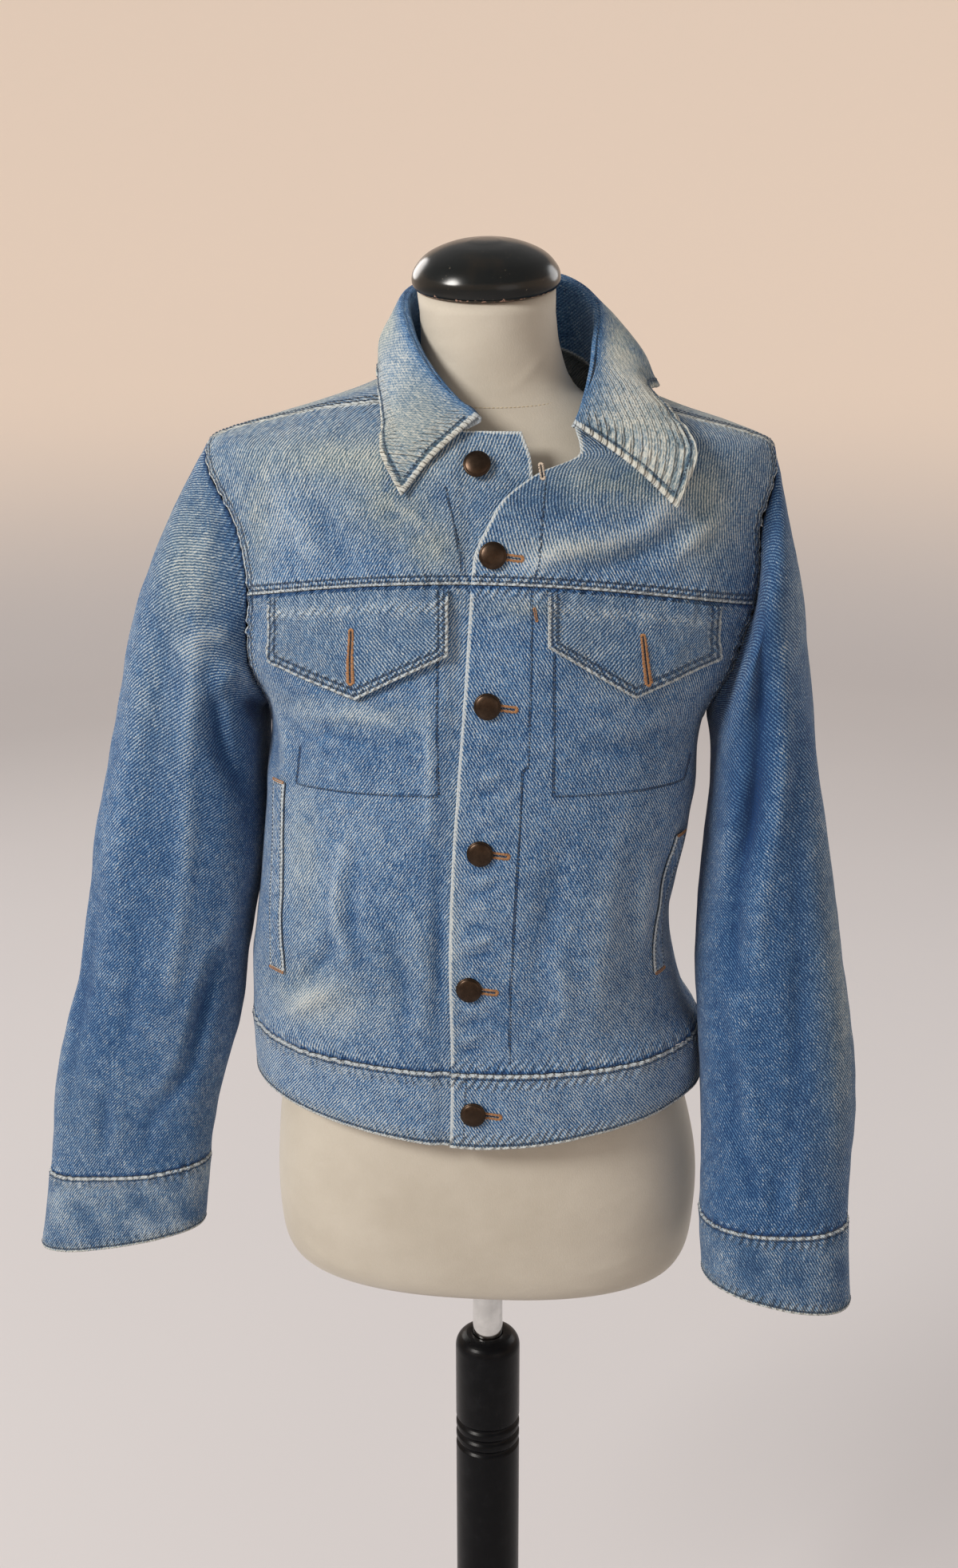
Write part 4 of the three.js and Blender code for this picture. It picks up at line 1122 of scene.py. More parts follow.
    def cloth(self, angle, along, lift=0.0):
        angle, along = np.broadcast_arrays(np.asarray(angle, float), np.asarray(along, float))
        point, out = self.point(angle, along), self.outward(angle, along)
        marks = self.marks(point, out, angle, along)
        return point + out * (marks["height"] + lift)[..., None], out, marks


CUFF_GAP = 0.004  # in sections of the sleeve
SEAM_GAP = 0.13  # in degrees round it
CUFF_PROUD = 0.8
SLEEVE_CELL = 3.0
sleeves = {side: Sleeve(side) for side in SLEEVES}


def sleeve_rows(sleeve, low, high, cell):
    fine = np.linspace(low, high, 300)
    down = np.mean([run_lengths(sleeve.point(angle, fine), 0) for angle in (40, 130, 230, 320)], axis=0)
    return np.interp(spread(down[-1], cell) * down[-1], down, fine)[:, None]


def sleeve_fell(angle):
    """The top sleeve's back edge is felled over the under sleeve."""
    off = np.mod(angle - OUTER_SEAM + 360, 360)
    return FELL_RISE * np.where(off < 180, 1 - smooth(off * DEGREE, FELL, FELL + FELL_EDGE), 0)


for side, sleeve in sleeves.items():
    cuff_start = sleeve.count - 1
    rows = sleeve_rows(sleeve, 0, cuff_start - CUFF_GAP, SLEEVE_CELL)
    for part, start, end in (("top", OUTER_SEAM - 360, INNER_SEAM), ("under", INNER_SEAM, OUTER_SEAM)):
        shares = spread(SLEEVE_GIRTH * (end - start) / 360, SLEEVE_CELL)
        angles = mix(start + SEAM_GAP, end - SEAM_GAP, shares)[None, :]
        grid, out, marks = sleeve.cloth(angles, rows)
        walked = run_lengths(grid, 0)
        # Painted shadow at the sleeve's head beside the raised armhole band, and at its foot above the proud
        # cuff.
        shadow_under(walked, marks)
        shadow_under(walked[-1:] - walked, marks)
        if part == "top":
            grid = grid + out * (sleeve_fell(angles + 0 * rows) * smooth(walked, 4, 20))[..., None]
        add_cloth(f"sleeve_{part}_{side}", grid, out, CLOTH, marks, denim)
    rows = sleeve_rows(sleeve, cuff_start + CUFF_GAP, sleeve.count, 2.6)
    angles = np.linspace(0, 360, 150, endpoint=False)[None, :]
    grid, out, marks = sleeve.cloth(angles, rows, CUFF_PROUD)
    walked = run_lengths(grid, 0)
    marks["tone"] = marks["tone"] + 0.12 + 0.3 * ripple_fine(grid)
    marks["band"], marks["twice"] = np.minimum(walked, walked[-1:] - walked), 0 * walked
    marks["fade"] = marks["fade"] + 0.2
    marks["rope"] = np.maximum(marks["rope"], 0.7 * np.exp(-(((walked[-1:] - walked) / 7) ** 2)))
    marks["fade"] = marks["fade"] + 0.5 * np.exp(-(((walked[-1:] - walked) / 6) ** 2))
    add_cloth(f"cuff_{side}", grid, out, DOUBLE_CLOTH, marks, worn_denim, wraps=True)


# ---- Collar --------------------------------------------------------------------------------------
COLLAR_COLUMNS = "turn fold_x fold_y fold_z edge_turn edge_level lift bow".split()
COLLAR = [dict(zip(COLLAR_COLUMNS, row)) for row in [
    [-4, 1, -84, 1353, -13.5, 1304, 5, 1],
    [-22, -17, -76, 1366, -20, 1345, 4, 2],
    [-48, -37, -60, 1387, -42, 1371, 4, 3],
    [-72, -53, -28, 1412, -72, 1375.5, 3, 2],
    [-98, -59, 12, 1432, -98, 1374, 4, 4],
    [-138, -42, 60, 1443, -140, 1363, 5, 5],
    [-180, 4, 74, 1446, -180, 1362, 5, 5],
    [-222, 48, 64, 1445, -220, 1362, 5, 5],
    [-262, 76, 28, 1426, -262, 1365, 6, 5],
    [-285, 78, -12, 1397, -282, 1366, 7, 3],
    [-298, 76, -42, 1377, -298, 1356, 8.5, 3],
    [-306, 71, -67, 1358, -315, 1334, 10, 4],
    [-311, 67, -79, 1348, -320.5, 1292, 8, 2],
]]


def collar_curve(points, shares):
    """A centripetal curve through the collar's stations, at shares of the way along it."""
    points = np.array(points, float)
    padded = np.concatenate([[2 * points[0] - points[1]], points, [2 * points[-1] - points[-2]]])
    result = []
    for share in shares:
        along = share * (len(points) - 1)
        k = min(int(along), len(points) - 2)
        t = along - k
        a, b, c, d = padded[k : k + 4]
        gaps = [max(math.sqrt(math.dist(p, q)), 1e-4) for p, q in ((a, b), (b, c), (c, d))]
        slope_b = (b - a) / gaps[0] - (c - a) / (gaps[0] + gaps[1]) + (c - b) / gaps[1]
        slope_c = (c - b) / gaps[1] - (d - b) / (gaps[1] + gaps[2]) + (d - c) / gaps[2]
        result.append(bend(b, c, slope_b * gaps[1], slope_c * gaps[1], t))
    return np.array(result)


def collar_profiles(shares):
    """The collar's own lines from the neckline over the fold to the edge, and the way out of each."""
    on_neckline = np.array([body(row["turn"], NECK) for row in COLLAR])
    inwards = on_neckline * [1, 1, 0]
    lows = on_neckline - DOUBLE_CLOTH * unit(inwards) + [0, 0, 3 * GAP]
    folds = [[row["fold_x"], row["fold_y"], row["fold_z"]] for row in COLLAR]
    edges = [
        body(row["edge_turn"], row["edge_level"])
        + row["lift"] * outward(row["edge_turn"], min(row["edge_level"], NECK - 1))
        for row in COLLAR
    ]
    low, fold, edge = (collar_curve(points, shares) for points in (lows, folds, edges))
    bow = collar_curve([[row["bow"], 0, 0] for row in COLLAR], shares)[:, :1]
    away = unit((edge - low) * [1, 1, 0])
    up = np.array([0, 0, 1.0])
    stand = mix(0.35, 1, smooth(fold[:, 2:] - low[:, 2:], 0, 30))
    lines = np.stack([
        low,
        mix(low, fold, 0.55),
        fold - 0.6 * away * stand,
        fold + 1.6 * away * stand + 2.2 * up * stand,
        fold + 4.6 * away * stand + 0.8 * up * stand,
        mix(fold, edge, 0.5) + away * (4 + bow),
        edge,
    ], axis=1)
    return lines, away


def collar_cloth(shares, leaf):
    """Points of the collar's outside. `leaf` is 0 at the neckline, 4 at the fold and 6 at the edge."""
    lines, away = collar_profiles(shares)
    keys = np.arange(7)
    names = [f"c{i}" for i in range(3)]
    grid = np.stack([
        np.stack([Table("key c0 c1 c2", np.column_stack([keys, line])).at(name, leaf) for name in names], -1)
        for line in lines
    ])
    level = np.stack([-away[:, 1], away[:, 0], 0 * away[:, 0]], -1)[:, None, :]
    tangent = np.gradient(grid, axis=1)
    square = unit(np.cross(tangent, level))
    return grid + DOUBLE_CLOTH * square, square


def collar_leaf_steps(cell):
    fine = np.linspace(0, 6, 200)
    middle, _ = collar_cloth(np.array([0.35]), fine)
    walked = run_lengths(middle[0], 0)
    return np.interp(spread(walked[-1], cell) * walked[-1], walked, fine)


COLLAR_ROW = 5.6  # how far the collar's row of stitches is from its edge


def collar_relief(grid, leaf, shares):
    """Height and marks of the collar: puckered edges, marbled dye."""
    walked = run_lengths(grid, 1)
    to_edge = walked[:, -1:] - walked
    along = run_lengths(grid[:, -1], 0)[:, None] + 0 * walked
    to_front = np.minimum(run_lengths(grid, 0), run_lengths(grid[::-1], 0)[::-1])
    distance = np.minimum(to_edge, to_front + 2)
    on_leaf = smooth(leaf, 3.6, 4.6)[None, :]
    height = on_leaf * (puckers(along, distance, 7, 0.45) + 0.5 * ripple_fine(grid)) * smooth(to_front, 0, 6)
    height = height + 0.35 * on_leaf * (1 - smooth(distance, 5.5, 7))
    right = smooth(shares, 0.55, 0.75)[:, None]
    tone = on_leaf * (0.12 + 0.3 * right * ripple_fine(grid * 0.8) + 0.12 * ripple_wide(grid * 1.5))
    # The stand under the collar's fold gets a painted shade.
    tone = tone - (1 - on_leaf) * 0.35
    rope = on_leaf * (0.9 * np.exp(-((distance / 8) ** 2)) + 0.35 * right)
    fade = on_leaf * (0.8 + 0.25 * ripple_wide(grid)) + 0 * walked
    band = np.where(on_leaf > 0.5, distance * STITCH_ROWS[0] / COLLAR_ROW, NO_BAND)
    return {
        "height": height, "tone": tone, "rope": rope, "fade": np.clip(fade, 0, 1), "edge": 0 * walked,
        "band": band, "twice": 0 * walked,
    }


shares = spread(560, 2.4)
collar_leaf = collar_leaf_steps(2.2)
collar_grid, collar_out = collar_cloth(shares, collar_leaf)
marks = collar_relief(collar_grid, collar_leaf, shares)
collar_grid = collar_grid + collar_out * marks["height"][..., None]
add_cloth("collar", collar_grid, collar_out, DOUBLE_CLOTH, marks, collar_denim)


# ---- Stitches ------------------------------------------------------------------------------------
CAPSULE_SIDES = 5


def capsules(starts, ends, ups, radius):
    """Short rounded threads, each a little sunk at its ends."""
    starts, ends, ups = (np.asarray(v, float).reshape(-1, 3) for v in (starts, ends, ups))
    axis = unit(ends - starts)
    side = unit(np.cross(axis, ups))
    up = np.cross(side, axis)
    turns = np.arange(CAPSULE_SIDES) * 2 * math.pi / CAPSULE_SIDES
    ring = side[:, None] * np.cos(turns)[:, None] * radius + up[:, None] * np.sin(turns)[:, None] * radius
    tips = [starts - up * radius, ends - up * radius]
    rings = [ring + mix(starts, ends, share)[:, None] for share in (0.16, 0.84)]
    points = np.concatenate([tips[0][:, None], *rings, tips[1][:, None]], axis=1)
    faces = []
    for i in range(CAPSULE_SIDES):
        j = (i + 1) % CAPSULE_SIDES
        a, b, c, d = 1 + i, 1 + j, 1 + CAPSULE_SIDES + j, 1 + CAPSULE_SIDES + i
        faces += [(0, b, a), (a, b, c), (a, c, d), (d, c, 1 + 2 * CAPSULE_SIDES)]
    each = points.shape[1]
    offsets = (np.arange(len(points)) * each)[:, None, None]
    return points.reshape(-1, 3), (np.array(faces)[None] + offsets).reshape(-1, 3)


class Thread:
    """Stitches gathered into one piece."""

    def __init__(self, name, material, radius):
        self.name, self.material, self.radius = name, material, radius
        self.parts = []

    def row(self, points, ups, pitch=3.1, gap=0.75):
        """A row of stitches along a line on the cloth."""
        walked = run_lengths(points, 0)
        count = max(2, round(walked[-1] / pitch))
        pitch = walked[-1] / count
        begin = np.arange(count) * pitch + gap / 2
        end = begin + pitch - gap
        up = unit(walk_at((begin + end) / 2, walked, ups))
        self.add(walk_at(begin, walked, points), walk_at(end, walked, points), up)

    def add(self, starts, ends, ups):
        self.parts.append((np.array(starts), np.array(ends), np.array(ups)))

    def make(self):
        starts, ends, ups = (np.concatenate([part[i] for part in self.parts]) for i in range(3))
        points, faces = capsules(starts, ends, ups, self.radius)
        return link(self.name, new_mesh(self.name, points, faces), self.material)


def thread_material(name, colour, dark):
    n = Nodes(name, Roughness=0.7, Sheen_Weight=0.2, Specular_IOR_Level=0.3)
    where = n.place()
    n.look("Base Color", n.blend(n.noise(where, 420, 2), linear(dark), linear(colour)))
    n.look("Normal", n.bump(n.noise(where, 2600, 1), 0.5, 0.0002))
    return n.material


blue_thread = thread_material("blue_thread", "4d6075", "222f42")
rust_thread = thread_material("rust_thread", "bd8d5f", "7d5334")
pale_thread = thread_material("pale_thread", "e2d6c6", "a8937f")
seam_stitches = Thread("seam_stitches", blue_thread, 0.5)
sleeve_stitches = Thread("sleeve_stitches", blue_thread, 0.48)
buttonholes = Thread("buttonhole_stitches", rust_thread, 0.38)
open_buttonhole = Thread("open_buttonhole_stitches", pale_thread, 0.3)
STITCH_LIFT = 0.12


def body_row(turns, levels, lift=0.0, sink=None):
    points, out, _ = body_cloth(turns, levels, STITCH_LIFT + lift)
    if sink is not None:
        points = points - out * sink(np.asarray(turns), np.asarray(levels))[..., None]
    seam_stitches.row(points, out)


for above in STITCH_ROWS:
    level = np.full(90, YOKE + above)
    body_row(np.linspace(float(RIGHT[0](YOKE)) + 0.5, 72, 90), level)
    body_row(np.linspace(float(turn_at(lap_edge(YOKE) - 12, YOKE)), -56.5, 90), level)


def beside(turns, levels, offset):
    """The line that runs beside a line on the body, `offset` to its left, in turns and levels."""
    points = body(turns, levels)
    out = outward(turns, levels)
    step = np.gradient(points, axis=0)
    aside = unit(np.cross(out, step)) * offset
    eps = 0.4
    by_turn = (body(turns + eps, levels) - body(turns - eps, levels)) / (2 * eps)
    by_level = (body(turns, levels + eps) - body(turns, levels - eps)) / (2 * eps)
    a, b, c = (by_turn**2).sum(-1), (by_turn * by_level).sum(-1), (by_level**2).sum(-1)
    p, q = (by_turn * aside).sum(-1), (by_level * aside).sum(-1)
    spare = a * c - b * b
    return turns + (c * p - b * q) / spare, levels + (a * q - b * p) / spare


for sign, side in ((-1, "left"), (1, "right")):
    front = np.linspace(TIP - 4, ARMPIT + 8, 130)
    for offset in STITCH_ROWS:
        body_row(*beside(sign * side_turn(side, front), front, -sign * offset))
        body_row(*beside(sign * side_turn("behind", front), front, sign * offset))

tops = np.linspace(TIP + 1, NECK - 1, 60)
for offset in STITCH_ROWS:
    for sign in (-1, 1):
        body_row(*beside(sign * shoulder_seam(tops), tops, -sign * offset))

for route in FRONT_ROWS:
    route = np.array(route, float)
    walked = run_lengths(route, 0)
    body_row(*place_at(*walk_at(np.linspace(0, walked[-1], 140), walked, route).T))

# Waistband: under its seam, along its end and above the hem
for edges, sink, _ in BANDS.values():
    for level in (WAISTBAND - STITCH_ROWS[0], HEM + STITCH_ROWS[0]):
        start, end = (float(edge(level)) for edge in edges)
        body_row(np.linspace(start, end, 160), np.full(160, float(level)), 0.0, sink)
levels = np.linspace(HEM + 4, WAISTBAND - 3, 20)
body_row(RIGHT[0](levels) + 2.6, levels, 0.0, band_proud)


def flap_row(flap, along, down):
    points, out, *_ = flap_cloth(flap, along, down, STITCH_LIFT)
    seam_stitches.row(points, out)


for flap in FLAPS.values():
    width, slope = flap_size(flap)
    for inset in STITCH_ROWS:
        side_share, rise = inset / width, inset / math.cos(slope)
        t = np.linspace(side_share, 1 - side_share, 90)
        flap_row(flap, t, 1 - rise / flap_length(flap, t))
        for along in (side_share, 1 - side_share):
            flap_row(flap, np.full(24, along), np.linspace(0.06, 1 - rise / flap["side"], 24))

for welt in WELTS.values():
    for along in (0.1, 0.9):
        down = np.linspace(0.02, 0.98, 60)
        body_row(*welt_place(welt, np.full(60, along), down), PATCH_LIFT + FLAP_CLOTH)
    for down in (0.015, 0.985):
        along = np.linspace(0.1, 0.9, 10)
        body_row(*welt_place(welt, along, np.full(10, down)), PATCH_LIFT + FLAP_CLOTH)


def sleeve_row(sleeve, angles, places, lift):
    points, out, _ = sleeve.cloth(angles, places, lift + STITCH_LIFT)
    sleeve_stitches.row(points, out)


CUFF_LENGTH = 62
for sleeve in sleeves.values():
    cuff_start = sleeve.count - 1
    rows = np.linspace(0.12, cuff_start - 0.02, 220)
    for offset in STITCH_ROWS:
        sleeve_row(sleeve, np.full(220, OUTER_SEAM + offset), rows, FELL_RISE)
    for share in (STITCH_ROWS[0] / CUFF_LENGTH, 1 - STITCH_ROWS[0] / CUFF_LENGTH):
        sleeve_row(sleeve, np.linspace(0, 360, 200), np.full(200, cuff_start + share), CUFF_PROUD)
    for angle in (OUTER_SEAM + 4, OUTER_SEAM + 44):
        sleeve_row(sleeve, np.full(30, angle), cuff_start + np.linspace(0.06, 0.94, 30), CUFF_PROUD)


def collar_rows():
    walked = run_lengths(collar_grid, 1)
    to_edge = walked[:, -1:] - walked
    edge_line, ups = [], []
    last = len(collar_leaf) - 1
    front = run_lengths(collar_grid[:, -1], 0)
    keep = np.flatnonzero((front > COLLAR_ROW) & (front < front[-1] - COLLAR_ROW))
    for k in keep:
        at = np.interp(COLLAR_ROW, to_edge[k][::-1], np.arange(last + 1)[::-1])
        low = int(at)
        edge_line.append(mix(collar_grid[k, low], collar_grid[k, min(low + 1, last)], at - low))
        ups.append(collar_out[k, low])
    edge_line, ups = np.array(edge_line), np.array(ups)
    seam_stitches.row(edge_line + ups * STITCH_LIFT, ups)
    for k in (keep[0], keep[-1]):
        on_leaf = np.where((collar_leaf > 4.1) & (to_edge[k] > COLLAR_ROW))[0]
        line = collar_grid[k, on_leaf] + collar_out[k, on_leaf] * STITCH_LIFT
        seam_stitches.row(line, collar_out[k, on_leaf])


collar_rows()


def worked_hole(thread, middle_line, ups, half, pitch=0.62, flare=0.0):
    """A buttonhole's satin stitches down both sides of a slit and round its ends."""
    walked = run_lengths(middle_line, 0)
    count = int(walked[-1] / pitch)
    own = np.random.default_rng(count + 5)
    at = np.linspace(0, walked[-1], count)
    middle = walk_at(at, walked, middle_line)
    up = unit(walk_at(at, walked, ups))
    along = unit(np.gradient(middle, axis=0))
    aside = np.cross(up, along)
    for side in (-1, 1):
        skew = along * own.normal(0, 0.25, (count, 1))
        reach = half * (1 + own.normal(0, 0.08, (count, 1))) * (1 + flare * (at / walked[-1])[:, None])
        inner = middle + aside * side * 0.22 * half
        thread.add(inner + up * 0.25, middle + aside * side * reach + skew + up * 0.1, up)
    for end, direction in ((0, -1), (-1, 1)):
        for swing in np.linspace(-1.2, 1.2, 7):
            ray = along[end] * direction * math.cos(swing) + aside[end] * math.sin(swing)
            thread.add([middle[end] + ray * 0.2], [middle[end] + ray * half * 1.1 + up[end] * 0.1], [up[end]])


FRONT_BUTTONS = {
    "button_1": (1, 1324, 0.0),
    "button_2": (13, 1264, GAP),
    "button_3": (10, 1160, GAP),
    "button_4": (5, 1053, GAP),
    "button_5": (-3, 949, GAP),
    "button_6": (0, 850, GAP + 0.3),
}
HOLE_REACH = 19
HOLE_LIFT = 0.15
slits = []


def open_hole(thread, points, out, half, flare=0.0):
    """A worked hole and, for slit_mesh, the slit down its middle."""
    worked_hole(thread, points, out, half, flare=flare)
    slits.append((points, out))


for name, (x, height, _) in FRONT_BUTTONS.items():
    if name == "button_1":
        continue
    lift = BAND_PROUD if name == "button_6" else 0
    turns, levels = place_at(np.linspace(x + 2, x + HOLE_REACH, 24), np.linspace(height, height - 2.2, 24))
    points, out, _ = body_cloth(turns, levels, HOLE_LIFT + lift)
    open_hole(buttonholes, points, out, 2.8)
FLAP_HOLES = {
    "flap_left": ((-86.5, 1209), (-86.5, 1173)),
    "flap_right": ((116, 1207), (119.5, 1174)),
}
for name, ((x_top, top), (x_foot, foot)) in FLAP_HOLES.items():
    flap, t = FLAPS[name], np.linspace(0, 1, 24)
    x = mix(x_top, x_foot, t)
    along = (x - flap["inner"]) / (flap["outer"] - flap["inner"])
    down = (flap_top(x) - mix(top, foot, t)) / flap_length(flap, along)
    points, out, *_ = flap_cloth(flap, along, down, HOLE_LIFT)
    open_hole(buttonholes, points, out, 2.2, 0.6)
turns, levels = place_at(np.linspace(44.5, 46, 12), np.linspace(1324, 1316, 12))
points, out, _ = body_cloth(turns, levels, HOLE_LIFT)
open_hole(open_buttonhole, points, out, 2.0)

# Small bars of thread: at the top of the placket's facing and across the welts' ends
turns, levels = place_at(np.linspace(42, 43.5, 8), np.linspace(1228, 1220, 8))
points, out, _ = body_cloth(turns, levels, 0.2)
worked_hole(buttonholes, points, out, 1.1)
for welt in WELTS.values():
    for down in (0.0, 1.0):
        place = welt_place(welt, np.linspace(0.06, 0.94, 14), np.full(14, down))
        points, out, _ = body_cloth(*place, PATCH_LIFT + FLAP_CLOTH + HOLE_LIFT)
        worked_hole(buttonholes, points, out, 1.2)

for thread in (seam_stitches, sleeve_stitches, buttonholes, open_buttonhole):
    thread.make()


def slit_mesh():
    starts, ends, ups = [], [], []
    for points, out in slits:
        starts.append(points[:-1] + out[:-1] * 0.02)
        ends.append(points[1:] + out[1:] * 0.02)
        ups.append(out[:-1])
    starts, ends, ups = (np.concatenate(v) for v in (starts, ends, ups))
    stretch = (ends - starts) * 0.35
    return capsules(starts - stretch, ends + stretch, ups, 0.3)


# Painted shade in each buttonhole's slit: a near-black strip down its middle.
n = Nodes("slit_painted_shade", Roughness=0.95)
n.look("Base Color", n.blend(n.noise(n.place(), 600), linear("14161c"), linear("2b2a2e")))
link("buttonhole_slit_shade", new_mesh("buttonhole_slit_shade", *slit_mesh()), n.material)


# ---- Turned pieces: buttons and stand ------------------------------------------------------------
def revolve(profile, sides):
    """A closed body from a profile of (radius, height) that starts and ends on the axis."""
    profile = np.array(profile, float)
    turns = np.arange(sides) * 2 * math.pi / sides
    ring = profile[1:-1]
    x = ring[:, :1] * np.sin(turns)
    y = -ring[:, :1] * np.cos(turns)
    z = np.repeat(ring[:, 1:], sides, axis=1)
    first, last = ([[0, 0, profile[k, 1]]] for k in (0, -1))
    points = np.concatenate([first, np.stack([x, y, z], -1).reshape(-1, 3), last])
    return points, ring_faces(len(ring), sides)


def ring_faces(rings, sides):
    """Triangles over rings of points, with a point at each end: index 0 and the last."""
    faces = []
    place = np.arange(sides)
    after = (place + 1) % sides
    for r in range(rings - 1):
        a, b = 1 + r * sides + place, 1 + r * sides + after
        c, d = b + sides, a + sides
        faces += [np.stack([a, b, c], 1), np.stack([a, c, d], 1)]
    faces.append(np.stack([0 * place, 1 + after, 1 + place], 1))
    top = 1 + (rings - 1) * sides
    faces.append(np.stack([0 * place + 1 + rings * sides, top + place, top + after], 1))
    return np.concatenate(faces)


def bevelled(profile, radius=0.8):
    """The profile with each corner off the axis rounded a little."""
    profile = [np.array(p, float) for p in profile]
    rounded = [profile[0]]
    for a, b, c in zip(profile[:-2], profile[1:-1], profile[2:]):
        r = min(radius, np.linalg.norm(a - b) / 2.2, np.linalg.norm(c - b) / 2.2)
        start, end = b + unit(a - b) * r, b + unit(c - b) * r
        for t in (0, 0.33, 0.67, 1):
            rounded.append((1 - t) ** 2 * start + 2 * t * (1 - t) * b + t * t * end)
    return rounded + [profile[-1]]


def arc(centre, radius, start, end, count):
    angles = np.radians(np.linspace(start, end, count))
    return [(centre[0] + radius[0] * math.cos(a), centre[1] + radius[1] * math.sin(a)) for a in angles]


BUTTON = {"radius": 9.6, "rim": 2.2, "dome": 4.2}
CUFF_BUTTON = {"radius": 6.5, "rim": 1.8, "dome": 3.2}


def button_profile(size):
    """A domed cap with a rounded rim and a shallow groove inside it."""
    r, rim, dome = size["radius"], size["rim"], size["dome"]
    profile = [(0, 0), (r * 0.86, 0)]
    profile += arc((r - rim / 2, rim / 2), (rim / 2, rim / 2), -80, 100, 10)
    foot = rim * 0.88
    for t in np.linspace(0.06, 1, 12) * math.pi / 2:
        profile.append((r * 0.9 * math.cos(t), foot + (dome - foot) * math.sin(t)))
    profile[-1] = (0, dome)
    return profile


def add_turned(
    name, profile, sides, material, replaces, node_body="figure", seat=(0, 0, 0), direction=(0, 0, 1)
):
    points, faces = revolve(profile, sides)
    up = unit(np.array(direction, float))
    side = unit(np.cross(up, [0.3, 0.2, 1.0] if abs(up[2]) < 0.9 else [1.0, 0, 0]))
    fore = np.cross(side, up)
    points = points[:, :1] * side - points[:, 1:2] * fore + points[:, 2:] * up + np.array(seat, float)
    return link(name, new_mesh(name, points, faces), material, node_body, replaces)


def metal(name, colour, rough, dark, scale=300, **settings):
    n = Nodes(name, Metallic=1.0, **settings)
    where = n.place()
    mottle = n.noise(where, scale, 4, 0.6)
    n.look("Base Color", n.blend(n.between(mottle, 0.35, 0.75), linear(dark), linear(colour)))
    n.look("Roughness", n.add(rough - 0.05, n.times(n.noise(where, scale * 2, 2), 0.1)))
    n.look("Normal", n.bump(mottle, 0.15, 0.0003))
    return n.material


bronze = metal("bronze", "4a3d33", 0.34, "3a2f27", 120)
chrome = metal("chrome", "e4e4e2", 0.1, "cfcfcd", 60)


def add_button(name, size, sides, seat, out):
    cap = bevelled(button_profile(size), 0.3)
    add_turned(name + "_cap", cap, sides, bronze, [name], seat=seat[0], direction=out[0])


for name, (x, height, lift) in FRONT_BUTTONS.items():
    proud = BAND_PROUD - 0.3 if name == "button_6" else 0
    seat, out, _ = body_cloth(*place_at([x], [height]), lift + GAP + proud)
    add_button(name, BUTTON, 48, seat, out)
for side, sleeve in sleeves.items():
    seat, out, _ = sleeve.cloth([OUTER_SEAM + 20], [sleeve.count - 0.5], CUFF_PROUD + GAP)
    add_button(f"cuff_button_{side}", CUFF_BUTTON, 36, seat, out)

# ---- Dress form ----------------------------------------------------------------------------------
FORM_COLUMNS = "row z middle across fore aft power"
FORM_ROWS = [
    [671, 0, 30, 26, 26, 2],
    [666, 0, 112, 68, 64, 2.2],
    [671, -1, 150, 90, 85, 2.4],
    [685, -1, 165, 101, 93, 2.5],
    [715, -1, 171, 106, 96, 2.4],
    [765, -1, 171, 107, 96, 2.4],
    [830, -5, 160, 103, 92, 2.3],
    [900, -6, 139, 96, 84, 2.3],
    [965, -8, 126, 93, 78, 2.2],
    [1040, -4, 136, 100, 82, 2.2],
    [1130, 0, 150, 105, 92, 2.2],
    [1220, 2, 160, 98, 96, 2.2],
    [1290, 2, 165, 84, 88, 2.1],
    [1318, 2, 156, 72, 80, 2.0],
    [1338, 4, 122, 61, 74, 1.9],
    [1356, 6, 84, 53, 68, 2.0],
    [1374, 5, 58, 50, 58, 2.1],
    [1400, 2, 50.5, 50, 50, 2.0],
    [1424, 0, 49, 50, 46, 2.0],
]
FORM = Table(FORM_COLUMNS, [[i, *row] for i, row in enumerate(FORM_ROWS)])
NECK_TILT = math.radians(-14)
NECK_TOP = {"x": -1, "y": 0, "z": 1441, "radius_x": 50, "radius_y": 47}
SOCKET = {"radius": 13.2, "top": 763}
FORM_SIDES = 180
form_turns = np.arange(FORM_SIDES) * 2 * math.pi / FORM_SIDES
# The jersey's gathers round the pole: how many, how high and where they start.
GATHERS = ((17, 1, 0), (29, 0.7, 1), (41, 0.5, 2))


def form_ring(row):
    """A ring of the form at a place in its table, with the wrinkles of its jersey."""
    z, middle, across, fore, aft, exponent = (float(FORM.at(name, row)) for name in FORM.names[1:])
    sine, cosine = np.sin(form_turns), np.cos(form_turns)
    depth = np.where(cosine < 0, aft, fore)
    x, y = middle + across * power(sine, 2 / exponent), -depth * power(cosine, 2 / exponent)
    points = np.stack([x, y, z + 0 * sine], -1)
    radial = unit(points * [1, 1, 0])
    gathers = sum(size * np.sin(form_turns * count + phase) for count, size, phase in GATHERS)
    near_pole = 1 - smooth(row, 0.2, 1.1)
    points[:, 2] += 0.9 * gathers * near_pole * smooth(row, 0, 0.3)
    draws = crease_field(FORM_CREASES, points[:, [0, 2]])[0] * (points[:, 1] < 0)
    return points + radial * draws[:, None]


FORM_CREASES = [
    ([(60, 716), (92, 704), (128, 712)], 4, 0.8, 0),
    ([(96, 730), (130, 722), (158, 738)], 4, -0.8, 0),
    ([(70, 700), (104, 690), (140, 694)], 4, -0.6, 0),
    ([(-150, 708), (-120, 694), (-88, 690)], 4, 0.6, 0),
    ([(-44, 1418), (-36, 1404), (-20, 1398)], 3, 0.5, 0),
    ([(-42, 1404), (-30, 1392), (-12, 1388)], 3, -0.5, 0),
    ([(20, 1372), (34, 1384), (46, 1400)], 3, 0.4, 0),
]


